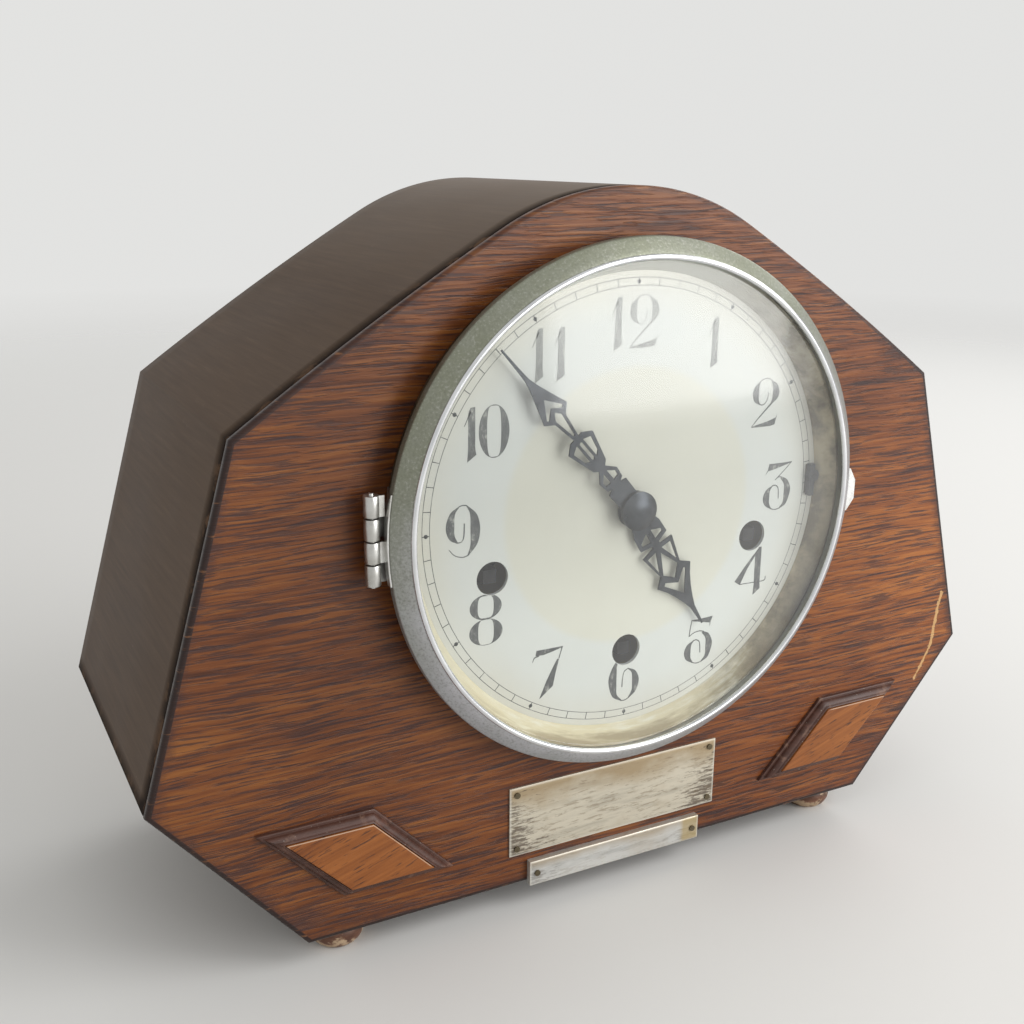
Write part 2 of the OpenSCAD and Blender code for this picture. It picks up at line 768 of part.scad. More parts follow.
mid = [0, 0];
great_at = [0, -wind_mid_z];
pallet_at = [0, susp_z];
span_a = 180 * pallet_span / escape_n;
escape_drop = escape_r / cos(span_a);
escape_at = pallet_at - [0, escape_drop];
inter_at = reach(mid, (inter_n + center_pinion_n) * inter_m / 2,
                 great_at, (great_n + inter_pinion_n) * great_m / 2);
third_at = reach(mid, (center_n + fine_n) * center_m / 2,
                 escape_at, (third_n + fine_n) * third_m / 2);

front_in = plate_front - plate_t;      // inner faces of the two plates
back_in = plate_back + plate_t;
barrel_back = back_in + 4;             // back of the great wheels
inter_d = front_in - 6.4;              // back faces of the wheels, from front to back
center_d = front_in - 12;
third_d = back_in + 6.6;
escape_d = back_in + 2.4;
wheel_t = 1.4;
pinion_over = 0.5;                     // how far a pinion is longer than its wheel
bridge_d = back_in + 9.5;              // back face of the escapement's bridge
bridge_t = 1.5;
pivot_out = 0.4;                       // how far pivots come out of the plates

// A wheel at p with its back face at d, cut out between five spokes.
module spoked_wheel(p, d, n, m, a0, hub) {
  rim = n * m / 2 - 2.6;
  slab_at(p, d, d + wheel_t) difference() {
    polygon(gear_pts(n, m, a0, true));
    for (k = [0:4]) rotate(k * 72) polygon(concat(
      [for (a = [14:11:58]) (hub + 2.4) * unit(a)],
      [for (a = [66:-10:6]) rim * unit(a)]));
  }
  ring_at(p, hub, 0, d - pinion_over, d + wheel_t + pinion_over);
}

// A pinion at p that meshes with a wheel whose back face is at d.
module pinion(p, d, n, m, a0) {
  slab_at(p, d - pinion_over, d + wheel_t + pinion_over) polygon(gear_pts(n, m, a0));
}

// Takes a share of the great wheel's turn to the centre arbor.
module intermediate_arbor() {
  pinion_a = mesh_at(90, great_n, direction(great_at, inter_at), inter_pinion_n);
  wheel_a = mesh_at(0, center_pinion_n, direction(mid, inter_at), inter_n);
  color("#c2a24e") {
    ring_at(inter_at, fine_r, 0, plate_back - pivot_out, plate_front + pivot_out);
    ring_at(inter_at, 1.5, 0, back_in + gap, front_in - gap);
    slab_at(inter_at, barrel_back - pinion_over, barrel_back + 2 + pinion_over)
      polygon(gear_pts(inter_pinion_n, great_m, pinion_a));
    spoked_wheel(inter_at, inter_d, inter_n, inter_m, wheel_a, 3);
  }
}

module third_arbor() {
  color("#c2a24e") {
    ring_at(third_at, fine_r, 0, plate_back - pivot_out, plate_front + pivot_out);
    pinion(third_at, center_d, fine_n, center_m,
           mesh_at(0, center_n, direction(mid, third_at), fine_n));
    spoked_wheel(third_at, third_d, third_n, third_m, 0, 2.4);
  }
}

// The escape wheel turns between the back plate and the bridge.
module escape_arbor() {
  color("#c2a24e") {
    ring_at(escape_at, fine_r, 0, plate_back - pivot_out, bridge_d + bridge_t + pivot_out);
    pinion(escape_at, third_d, fine_n, third_m,
           mesh_at(0, third_n, direction(third_at, escape_at), fine_n));
    slab_at(escape_at, escape_d, escape_d + 1.2) difference() {
      polygon(ratchet_pts(escape_r, escape_n));
      for (k = [0:4]) rotate(k * 72) translate([4.3, 0]) circle(r = 1.7, $fn = 32);
    }
  }
}

pend_d = plate_back - 12;               // depth of the pendulum's plane
crutch_d = plate_back - 5.2;           // back face of the crutch
crutch_l = 31;                         // its length down from the pendulum's axis
rod_half = 1.6;                        // half width of the pendulum's rod

// Anchor with its two pallets, its arbor, and behind the plate the crutch, whose fork
// takes the pendulum's rod between its tines.
module pallet_arbor() {
  tip = (escape_r + pallet_clear) * [sin(span_a), cos(span_a)] - [0, escape_drop];
  pts = [[0, 2.6], [2.6, 1.8], [tip[0] + 0.9, tip[1] + 2.4], [tip[0] + 1.5, tip[1] - 0.3],
         tip, [tip[0] - 1.7, tip[1] + 1.2], [2, -1.3], [0, -1.7]];
  color("#85878a") {
    slab_at(pallet_at, escape_d - 0.2, escape_d + 1.4) both_edges(pts, 1);
    ring_at(pallet_at, pallet_r, 0, crutch_d, bridge_d + bridge_t + pivot_out);
    slab_at(pallet_at, crutch_d, crutch_d + 1) {
      circle(r = 2.2, $fn = 48);
      translate([-1, -crutch_l]) square([2, crutch_l]);
      translate([-rod_half - 1.3, -crutch_l]) square([2 * rod_half + 2.6, 3]);
    }
    for (s = [-1, 1]) slab_at(pallet_at, pend_d - 1.4, crutch_d + 0.5)
      translate([s * (rod_half + 0.75) - 0.55, -crutch_l]) square([1.1, 3]);
  }
}

// ---- Movement frame ----

ear_out = 7;                                     // the screw ears beside the plate
ear_r = 5.5;
screw_r = 2;
pivot_r = 2.2;
ear_pts = [for (sx = [-1, 1], z = [26, -58]) [sx * (plate_hw + ear_out), z]];
pillar_pts = [for (sx = [-1, 1], z = [plate_up - 7, 7 - plate_down]) [sx * (plate_hw - 7), z]];

module plate_holes(d0, d1) {
  for (p = pillar_pts) ring_at(p, screw_r + run, 0, d0, d1);
  for (p = wind_pts) ring_at(p, pivot_r + run, 0, d0, d1);
  for (p = [inter_at, third_at]) ring_at(p, fine_r + run, 0, d0, d1);
  ring(arbor_r + run, 0, d0, d1);
}

module front_plate() {
  d0 = plate_front - plate_t;
  color("#c9ab5a") {
    difference() {
      union() {
        slab(d0, plate_front) translate([-plate_hw, -plate_down])
          square([2 * plate_hw, plate_up + plate_down]);
        for (p = ear_pts) {
          ring_at(p, ear_r, 0, d0, plate_front);
          slab(d0, plate_front) translate([min(p[0], sign(p[0]) * (plate_hw - 1)), p[1] - ear_r])
            square([ear_out + 1, 2 * ear_r]);
        }
      }
      plate_holes(d0 - 1, plate_front + 1);
      for (p = ear_pts) ring_at(p, screw_r + run, 0, d0 - 1, plate_front + 1);
      for (p = foot_pts) ring_at(p, dial_foot_r + run, 0, d0 - 1, plate_front + 1);
      ring_at(lever_pivot, lever_stud_r, 0, d0 - 1, plate_front + 1);
      ring_at(minute_stud, stud_r, 0, d0 - 1, plate_front + 1);
    }
    ring_at(minute_stud, stud_r, 0, d0, cannon_d + 6);
    ring_at(lever_pivot, lever_stud_r, 0, d0, 1.6);
    ring_at(lever_pivot, 2.6, 0, plate_front - 0.5, -0.4);
  }
}

// The back plate and, riveted to it on two posts, the bridge in front of the escapement.
module back_plate() {
  posts = [[11, escape_at[1] - 9], [9.8, susp_z + 5]];
  bridge = [[-3, escape_at[1] - 4.5], [-3, susp_z + 3], [2, susp_z + 8], [10, susp_z + 8],
            [12.8, susp_z + 6], [14, posts[0][1]], [12.5, posts[0][1] - 2.6],
            [8.8, posts[0][1] - 2.2], [3, escape_at[1] - 4.5]];
  color("#c9ab5a") difference() {
    union() {
      slab(plate_back, back_in) translate([-plate_hw, -plate_down])
        square([2 * plate_hw, plate_up + plate_down]);
      slab(bridge_d, bridge_d + bridge_t) polygon(bridge);
      for (p = posts) ring_at(p, 2, 0, back_in - 0.5, bridge_d + bridge_t + 0.8);
    }
    plate_holes(plate_back - 1, back_in + 1);
    for (d = [[plate_back - 1, back_in + 1], [bridge_d - 1, bridge_d + bridge_t + 1]]) {
      ring_at(escape_at, fine_r + run, 0, d[0], d[1]);
      ring_at(pallet_at, pallet_r + run, 0, d[0], d[1]);
    }
  }
}

// Turned pillars with a threaded end through each plate and a nut on it.
module plate_pillars() {
  color("#b8b9bb") for (p = pillar_pts) {
    ring_at(p, 3.4, 0, plate_back + plate_t, plate_front - plate_t);
    ring_at(p, screw_r, 0, plate_back - 3, plate_front + 2.6);
    fwd(plate_back - 2.2) translate([p[0], p[1], 0]) cylinder(r = 3.8, h = 2.2, $fn = 6);
    fwd(plate_front) translate([p[0], p[1], 0]) cylinder(r = 3.8, h = 2, $fn = 6);
  }
}

// Sleeves between the front board and the plate's ears, and the screws through them.
module movement_spacers() {
  color("#9a9b9d") for (p = ear_pts)
    ring_at(p, 4.5, screw_r + run, plate_front, board_back);
}

screw_in = 6; // how far the movement's screws reach into the front board

module movement_screws() {
  back = plate_front - plate_t;
  color("#8c8d90") for (p = ear_pts) {
    ring_at(p, screw_r, 0, back, board_back + screw_in);
    difference() {
      ring_at(p, 3.6, 0, back - 2, back);
      slab_at(p, back - 2.5, back - 1.2) translate([-4, -0.5]) square([8, 1]);
    }
  }
}

// ---- Barrels and winding arbors ----

barrel_l = 30;
core_r = 3.2;                                // barrel arbor inside the barrel

module barrel(p) {
  color("#c2a24e") difference() {
    union() {
      slab_at(p, barrel_back, barrel_back + 2) polygon(gear_pts(great_n, great_m, 90));
      ring_at(p, barrel_r, 0, barrel_back + 2, barrel_back + barrel_l);
    }
    ring_at(p, core_r + run, 0, barrel_back - 1, barrel_back + barrel_l + 1);
  }
}

// Saw teeth of a ratchet wheel.
function ratchet_pts(r, n) =
  [for (k = [0:n - 1], q = [0, 1]) (r - 1.3 * q) * unit((k + 0.08 * q) * 360 / n)];

// Winding arbor with its ratchet wheel in front of the plate and its square.
module winding_arbor(p) {
  square_w = 4.4;
  color("#85878a") {
    ring_at(p, pivot_r, 0, plate_back - 1, plate_front + 1.9);
    ring_at(p, core_r, 0, plate_back + plate_t + gap, plate_front - plate_t - gap);
    slab_at(p, plate_front + gap, plate_front + 1.9) polygon(ratchet_pts(8, 18));
    slab_at(p, plate_front + 1.9, dial_back - 0.5) translate([-square_w / 2, -square_w / 2])
      square(square_w);
  }
}

module strike_barrel() { barrel(wind_pts[0]); }
module time_barrel() { barrel(wind_pts[1]); }
module chime_barrel() { barrel(wind_pts[2]); }
module strike_arbor() { winding_arbor(wind_pts[0]); }
module time_arbor() { winding_arbor(wind_pts[1]); }
module chime_arbor() { winding_arbor(wind_pts[2]); }

// The arbor that carries the cannon pinion.
module center_arbor() {
  color("#85878a") {
    ring(arbor_r, 0, plate_back - 0.5, cannon_d + 12);
    pinion(mid, inter_d, center_pinion_n, inter_m, 0);
    spoked_wheel(mid, center_d, center_n, center_m, 0, 3);
  }
}

// ---- Pendulum ----

susp_r = 1.2;
leaf_half = 0.3;                             // half thickness of the rod's strip
bob_z = susp_z - pendulum_l;
bob_half = 4;

// Cock for the pendulum, with room for the crutch inside it and a screw at each side.
module back_cock() {
  slot = leaf_half + gap;
  color("#c9ab5a") difference() {
    union() {
      slab(plate_back - 2, plate_back) translate([-13, susp_z - 5]) square([26, 10]);
      slab(pend_d - 3, plate_back - 1) translate([-5, susp_z - 5]) square([10, 13]);
      for (s = [-1, 1]) ring_at([s * 9.5, susp_z], 2.2, 0, plate_back - 3.4, plate_back - 1);
    }
    slab(pend_d - slot, pend_d + slot) translate([-6, susp_z - 6]) square([12, 9.5]);
    slab(crutch_d - 1, crutch_d + 2) translate([-6, susp_z - 6]) square([12, 9.6]);
    ring_at(pallet_at, pallet_r + gap, 0, crutch_d, plate_back + 1);
    ring_at(pallet_at, susp_r + run, 0, pend_d - 2.2, pend_d + 2.2);
    for (s = [-1, 1]) slab_at([s * 9.5, susp_z], plate_back - 4, plate_back - 2.6)
      translate([-3, -0.4]) square([6, 0.8]);
  }
}

module pendulum() {
  strip_end = bob_z + bob_r + 2;
  color("#a8894a") {
    slab(pend_d - leaf_half, pend_d + leaf_half) {
      translate([-rod_half, strip_end]) square([2 * rod_half, susp_z - strip_end]);
      translate([0, susp_z]) circle(r = 2.6, $fn = 48);
    }
    ring_at([0, susp_z], susp_r, 0, pend_d - 2, pend_d + 2);
    slab(pend_d - 0.9, pend_d + 0.9) translate([-0.9, bob_z - bob_r - 9])
      square([1.8, 2 * bob_r + 16]);
  }
}

module pendulum_bob() {
  color("#b0935a") difference() {
    ring_at([0, bob_z], bob_r, 0, pend_d - bob_half, pend_d + bob_half);
    slab(pend_d - 1, pend_d + 1) translate([-1, bob_z - bob_r - 1]) square([2, 2 * bob_r + 2]);
  }
}

module rating_nut() {
  color("#b59a52") difference() {
    translate([0, front_y - pend_d, dial_cz + bob_z - bob_r - 3.7]) cylinder(r = 4, h = 3.4);
    slab(pend_d - 1, pend_d + 1) translate([-1, bob_z - bob_r - 6]) square([2, 8]);
  }
}

// ---- Gong ----

gong_x = base_hw - 44;
gong_back = -inner_back - 5;                 // the block's back face, behind the front
gong_w = 0.75 * (gong_back + pend_d - bob_half);
gong_h = 30;

gong_rods_n = 5;
gong_pitch = (gong_w - 5) / 4;
rod_r = 1.2;
rod_in = 5;                                  // how far the rods reach into the block

// Puts what follows at the root of rod i, pointing along it.
module at_rod(i) {
  translate([gong_x + rod_in, front_y + gong_back - gong_w / 2 + (i - 2) * gong_pitch,
             foot_h + shell_t + gong_h - 6]) rotate([0, -90, 0]) children();
}

module gong_block() {
  color("#2f3032") difference() {
    translate([gong_x, front_y + gong_back - gong_w, foot_h + shell_t])
      cube([gong_w, gong_w, gong_h]);
    for (i = [0:gong_rods_n - 1]) at_rod(i) cylinder(r = rod_r + 0.01, h = rod_in + 1, $fn = 32);
  }
}

module gong_rods() {
  color("#a98c4f") for (i = [0:gong_rods_n - 1])
    at_rod(i) cylinder(r = rod_r, h = 2 * gong_x + 18 - i * 8, $fn = 32);
}

// ---- Back board and its door ----

door_z = -24;                                // middle of the door, from the dial's centre
door_lap = 9;                                // the door's lap over the opening's edge
door_in = -case_d - gap;                     // inner and outer face of the door
door_out = door_in - back_t;
door_hinge_x = -(door_w / 2 + door_knuckle_r + gap);
door_pin_r = 0.8;
door_knuckle_l = 7;
door_hinge_z = [door_z - door_h / 2 + 22, door_z + door_h / 2 - 22];
turn_x = door_w / 2 + 7;
turn_r = 3;

module back_board() {
  w = door_w - 2 * door_lap;
  h = door_h - 2 * door_lap;
  color("#7d5c3e") difference() {
    slab(-case_d, inner_back) outline(shell_t + fit);
    slab(-case_d - 1, inner_back + 1) translate([-w / 2, door_z - h / 2]) square([w, h]);
    ring_at([turn_x, door_z], 1.2 + run, 0, -case_d - 1, inner_back - 2);
  }
}

module back_door() {
  color("#6d4d33") slab(door_out, door_in) translate([-door_w / 2, door_z - door_h / 2])
    square([door_w, door_h]);
}

// Knuckle k of the hinge at height z, counted from the bottom; three make a hinge.
module door_knuckle(z, k) {
  translate([door_hinge_x, front_y - door_out, dial_cz + z + (k - 1.5) * door_knuckle_l + 0.05])
    difference() {
      union() {
        cylinder(r = door_knuckle_r, h = door_knuckle_l - 0.1, $fn = 64);
        children();
      }
      translate([0, 0, -1]) cylinder(r = door_pin_r + run, h = door_knuckle_l + 2, $fn = 32);
    }
}

// Cranked leaves on the back board; they carry the outer knuckles.
module door_hinge_leaves() {
  web = 1.2;
  color("#b59a52") for (z = door_hinge_z) {
    slab(-case_d - 1, -case_d)
      translate([door_hinge_x - 13, z - 1.5 * door_knuckle_l])
        square([13 - door_knuckle_r + web, 3 * door_knuckle_l]);
    for (k = [0, 2]) door_knuckle(z, k)
      translate([-door_knuckle_r, door_out + case_d, 0])
        cube([web, -door_out - case_d, door_knuckle_l - 0.1]);
  }
}

module door_hinge_straps() {
  color("#b59a52") for (z = door_hinge_z) {
    slab(door_out - 1, door_out) translate([-door_w / 2 + 0.1, z - 1.5 * door_knuckle_l])
      square([12, 3 * door_knuckle_l]);
    door_knuckle(z, 1) cube([-door_w / 2 - door_hinge_x + 1, 1, door_knuckle_l - 0.1]);
  }
}

module door_hinge_pins() {
  color("#8c8d90") for (z = door_hinge_z)
    translate([door_hinge_x, front_y - door_out, dial_cz + z - 1.5 * door_knuckle_l - 0.4])
      cylinder(r = door_pin_r, h = 3 * door_knuckle_l + 0.8, $fn = 32);
}

// Turn button beside the door; upright it is open, across it holds the door shut.
module door_turn() {
  color("#b59a52") {
    ring_at([turn_x, door_z], 1.2, 0, -case_d - 1, inner_back - 2.5);
    ring_at([turn_x, door_z], turn_r - 0.6, 0, door_out - gap - 0.5, -case_d - 0.2);
    slab_at([turn_x, door_z], door_out - gap - 1.5, door_out - gap)
      translate([-turn_r, -4]) square([2 * turn_r, 17]);
  }
}

front_board();
top_panel();
side_panel_right();
side_panel_left();
lower_panel_right();
lower_panel_left();
base_board();
glue_blocks();
bun_feet();
lozenge_frame_right();
lozenge_frame_left();
lozenge_panel_right();
lozenge_panel_left();
plaque_large();
plaque_small();
plaque_pins();
dial_plate();
chime_lever();
bezel_seat();
bezel_ring();
sight_ring();
bezel_glass();
bezel_tab();
bezel_hinge_leaf();
bezel_hinge_strap();
bezel_hinge_pin();
hour_hand();
minute_hand();
hand_nut();
cannon_pinion();
minute_wheel();
hour_wheel();
front_plate();
back_plate();
plate_pillars();
movement_spacers();
movement_screws();
strike_barrel();
time_barrel();
chime_barrel();
strike_arbor();
time_arbor();
chime_arbor();
center_arbor();
intermediate_arbor();
third_arbor();
escape_arbor();
pallet_arbor();
back_cock();
pendulum();
pendulum_bob();
rating_nut();
gong_block();
gong_rods();
back_board();
back_door();
door_hinge_leaves();
door_hinge_straps();
door_hinge_pins();
door_turn();
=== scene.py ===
"""Looks of the mantel clock: oak front, stained case, bezel, dial, hands and movement."""
import json
import math

import bmesh
import bpy
import numpy as np
from mathutils import Matrix, Vector


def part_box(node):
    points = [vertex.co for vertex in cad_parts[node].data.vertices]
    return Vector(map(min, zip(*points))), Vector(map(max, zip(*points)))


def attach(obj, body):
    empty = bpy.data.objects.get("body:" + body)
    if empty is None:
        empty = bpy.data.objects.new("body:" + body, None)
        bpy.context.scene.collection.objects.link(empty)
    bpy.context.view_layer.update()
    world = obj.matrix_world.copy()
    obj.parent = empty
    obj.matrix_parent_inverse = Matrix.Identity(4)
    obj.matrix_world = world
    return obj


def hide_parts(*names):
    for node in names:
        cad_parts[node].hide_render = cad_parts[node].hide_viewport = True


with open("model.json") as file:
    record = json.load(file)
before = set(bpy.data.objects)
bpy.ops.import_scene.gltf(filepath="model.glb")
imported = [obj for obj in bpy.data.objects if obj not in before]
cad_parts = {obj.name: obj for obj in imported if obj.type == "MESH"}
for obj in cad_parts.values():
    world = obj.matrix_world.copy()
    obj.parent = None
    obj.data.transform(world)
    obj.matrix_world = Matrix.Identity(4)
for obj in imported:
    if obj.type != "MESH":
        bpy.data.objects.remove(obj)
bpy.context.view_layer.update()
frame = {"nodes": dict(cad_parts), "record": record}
NODES = frame["nodes"]
MM = 0.001

# ---------------------------------------------------------------- places
FRONT_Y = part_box("front_board")[0].y                           # the case's front face
seat_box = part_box("bezel_seat")
DIAL_Z = 0.5 * (seat_box[0].z + seat_box[1].z)                 # height of the dial's centre
FOOT_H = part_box("base_board")[0].z                             # the feet's height


def put(x, z, h):
    """Points from millimetres across, up and in front of the dial's centre, to metres."""
    x, z, h = np.broadcast_arrays(np.asarray(x, float), z, h)
    return np.stack([x * MM, FRONT_Y - h * MM, DIAL_Z + z * MM], axis=-1)


# ---------------------------------------------------------------- mesh helpers
def signed_volume(co, faces):
    """Sum over fan triangles of a . (b x c) / 6, positive where faces point outwards."""
    total = 0.0
    for k in range(2, faces.shape[1]):
        a, b, c = co[faces[:, 0]], co[faces[:, k - 1]], co[faces[:, k]]
        total += np.einsum("ij,ij->", a, np.cross(b, c)) / 6
    return total


def make(name, co, faces, body, material, closed=True, facing=None, smooth=True,
         stands_for=(), attrs=None, sharp=None):
    """A mesh object from arrays; a closed one is turned so that its faces point outwards,
    an open one so that they point along facing."""
    co = np.asarray(co, float).reshape(-1, 3)
    faces = np.asarray(faces, int)
    if closed:
        middle = co.mean(0)
        if signed_volume(co - middle, faces) < 0:
            faces = faces[:, ::-1]
    elif facing is not None:
        a, b, c = co[faces[:, 0]], co[faces[:, 1]], co[faces[:, 2]]
        if (np.cross(b - a, c - a) @ np.asarray(facing, float)).sum() < 0:
            faces = faces[:, ::-1]
    mesh = bpy.data.meshes.new(name)
    mesh.from_pydata(co.tolist(), [], faces.tolist())
    if attrs:
        for key, values in attrs.items():
            layer = mesh.attributes.new(key, "FLOAT", "POINT")
            layer.data.foreach_set("value", np.asarray(values, np.float32).ravel())
    mesh.validate()
    mesh.polygons.foreach_set("use_smooth", [smooth] * len(mesh.polygons))
    if sharp is not None:
        mesh.set_sharp_from_angle(angle=math.radians(sharp))
    mesh.materials.append(material)
    obj = bpy.data.objects.new(name, mesh)
    bpy.context.scene.collection.objects.link(obj)
    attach(obj, body)
    if stands_for:
        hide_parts(*stands_for)
    return obj


def grid_faces(rows, cols, wrap_rows=False, wrap_cols=False):
    """Quads between neighbouring points of a rows x cols grid, closed round where asked."""
    r = np.arange(rows if wrap_rows else rows - 1)
    c = np.arange(cols if wrap_cols else cols - 1)
    r, c = np.meshgrid(r, c, indexing="ij")
    r1, c1 = (r + 1) % rows, (c + 1) % cols
    return np.stack([r * cols + c, r1 * cols + c, r1 * cols + c1, r * cols + c1], -1).reshape(-1, 4)


def turned(profile, count):
    """A closed profile of (radius, height in front) carried round the dial's axis:
    x = r cos a, z = r sin a, y = front - h. Returns the grid's points and faces."""
    profile = np.asarray(profile, float)
    a = np.linspace(0, 2 * np.pi, count, endpoint=False)[:, None]
    r, h = profile[None, :, 0], profile[None, :, 1]
    co = put(r * np.cos(a), r * np.sin(a), h + 0 * a)
    return co.reshape(-1, 3), grid_faces(count, len(profile), True, True)


def arc(cx, cy, r, a0, a1, n):
    """Points of a circle about (cx, cy) from angle a0 to a1 in degrees."""
    a = np.radians(np.linspace(a0, a1, n))
    return np.stack([cx + r * np.cos(a), cy + r * np.sin(a)], -1)


# ---------------------------------------------------------------- material helpers
class Finish:
    """A material's node tree with short calls for the nodes that the finishes use."""

    def __init__(self, name):
        self.mat = bpy.data.materials.new(name)
        self.mat.use_nodes = True
        self.nt = self.mat.node_tree
        self.shader = self.nt.nodes["Principled BSDF"]
        self.coords = self.nt.nodes.new("ShaderNodeTexCoord").outputs["Object"]

    def link(self, a, b):
        """Joins an output to an input."""
        self.nt.links.new(a, b)

    def feed(self, socket, value):
        """Gives an input either another node's output or a plain value."""
        if isinstance(value, bpy.types.NodeSocket):
            self.link(value, socket)
        else:
            socket.default_value = value

    def moved(self, vec=None, loc=(0, 0, 0), rot=(0, 0, 0), scale=(1, 1, 1)):
        """The coordinates, or vec, scaled, turned and then moved by loc."""
        n = self.nt.nodes.new("ShaderNodeMapping")
        self.link(vec or self.coords, n.inputs["Vector"])
        n.inputs["Location"].default_value = loc
        n.inputs["Rotation"].default_value = rot
        n.inputs["Scale"].default_value = scale
        return n.outputs["Vector"]

    def near_lines(self, lines):
        """1 on any of the lines, falling to 0 at the line's own reach from it. A line is
        two ends, across and up from the dial's middle, and the reach, all in mm."""
        x, _, z = self.split(self.moved(loc=(0, 0, -1000 * DIAL_Z), scale=(1000, 1000, 1000)))
        best = 0.0
        for (ax, az), (bx, bz), reach in lines:
            dx, dz = bx - ax, bz - az
            px, pz = self.math("SUBTRACT", x, ax), self.math("SUBTRACT", z, az)
            along = self.math("ADD", self.math("MULTIPLY", px, dx), self.math("MULTIPLY", pz, dz))
            along = self.math("DIVIDE", along, dx * dx + dz * dz, True)
            ox = self.math("SUBTRACT", px, self.math("MULTIPLY", along, dx))
            oz = self.math("SUBTRACT", pz, self.math("MULTIPLY", along, dz))
            off = self.length(self.join(ox, 0.0, oz))
            near = self.math("SUBTRACT", 1.0, self.math("DIVIDE", off, reach), True)
            best = self.math("MAXIMUM", best, near)
        return best

    def noise(self, scale, detail, rough=0.55, loc=(0, 0, 0), vec=None):
        """A cloudy pattern from 0 to 1 on the coordinates scaled and then moved by loc."""
        n = self.nt.nodes.new("ShaderNodeTexNoise")
        self.link(self.moved(vec, loc=loc, scale=scale), n.inputs["Vector"])
        n.inputs["Scale"].default_value = 1.0
        n.inputs["Detail"].default_value = detail
        n.inputs["Roughness"].default_value = rough
        return n.outputs["Fac"]

    def ramp(self, fac, stops):
        """Greys or colours that change with fac between stops of (position, value)."""
        n = self.nt.nodes.new("ShaderNodeValToRGB")
        self.link(fac, n.inputs["Fac"])
        e = n.color_ramp.elements
        while len(e) < len(stops):
            e.new(0.5)
        for el, (pos, col) in zip(e, stops):
            el.position = pos
            col = (col, col, col) if isinstance(col, (int, float)) else col
            el.color = (*col, 1)
        return n.outputs["Color"]

    def mix(self, fac, a, b, mode="MIX"):
        """Colour a where fac is 0, going over to b where it is 1."""
        n = self.nt.nodes.new("ShaderNodeMix")
        n.data_type = "RGBA"
        n.blend_type = mode
        self.feed(n.inputs[0], fac)
        for s, v in ((n.inputs[6], a), (n.inputs[7], b)):
            self.feed(s, v if isinstance(v, bpy.types.NodeSocket) else (*v, 1))
        return n.outputs[2]

    def math(self, op, a, b, clamp=False):
        """One sum on two values, held between 0 and 1 if clamped."""
        n = self.nt.nodes.new("ShaderNodeMath")
        n.operation = op
        n.use_clamp = clamp
        self.feed(n.inputs[0], a)
        self.feed(n.inputs[1], b)
        return n.outputs[0]

    def blend(self, *terms):
        """The sum of values, each times its weight."""
        parts = [self.math("MULTIPLY", value, weight) for value, weight in terms]
        total = parts[0]
        for part in parts[1:]:
            total = self.math("ADD", total, part)
        return total

    def split(self, vec):
        """The x, y and z of a vector."""
        n = self.nt.nodes.new("ShaderNodeSeparateXYZ")
        self.link(vec, n.inputs[0])
        return n.outputs

    def join(self, x, y, z):
        """A vector of three values."""
        n = self.nt.nodes.new("ShaderNodeCombineXYZ")
        for s, v in zip(n.inputs, (x, y, z)):
            self.feed(s, v)
        return n.outputs[0]

    def attribute(self, name):
        """A value that the piece carries at its points."""
        n = self.nt.nodes.new("ShaderNodeAttribute")
        n.attribute_name = name
        return n.outputs["Fac"]

    def length(self, vec):
        """A vector's length."""
        n = self.nt.nodes.new("ShaderNodeVectorMath")
        n.operation = "LENGTH"
        self.link(vec, n.inputs[0])
        return n.outputs["Value"]

    def bump(self, height, distance, strength):
        """A surface tilted as if it rose by height times distance, in metres."""
        n = self.nt.nodes.new("ShaderNodeBump")
        n.inputs["Strength"].default_value = strength
        n.inputs["Distance"].default_value = distance
        self.link(height, n.inputs["Height"])
        return n.outputs["Normal"]

    def done(self, color, rough, metal=0.0, normal=None, **more):
        """Sets the shader's inputs and returns the material; more names further inputs,
        with _ for a space."""
        s = self.shader.inputs
        self.feed(s["Base Color"], color if isinstance(color, bpy.types.NodeSocket) else (*color, 1))
        self.feed(s["Roughness"], rough)
        s["Metallic"].default_value = metal
        if normal is not None:
            self.link(normal, s["Normal"])
        for key, value in more.items():
            s[key.replace("_", " ")].default_value = value
        return self.mat


# ---------------------------------------------------------------- wood finishes
# Where the front is bare: one chip high at the left, then a scratch low at the right.
BARE_LINES = [((-125.5, 39.5), (-124.6, 36.5), 1.6),
              ((145.6, -53.7), (144.3, -62.6), 2.2),
              ((144.3, -62.6), (142.8, -74.8), 2.0),
              ((142.8, -74.8), (136.2, -87.4), 2.1)]


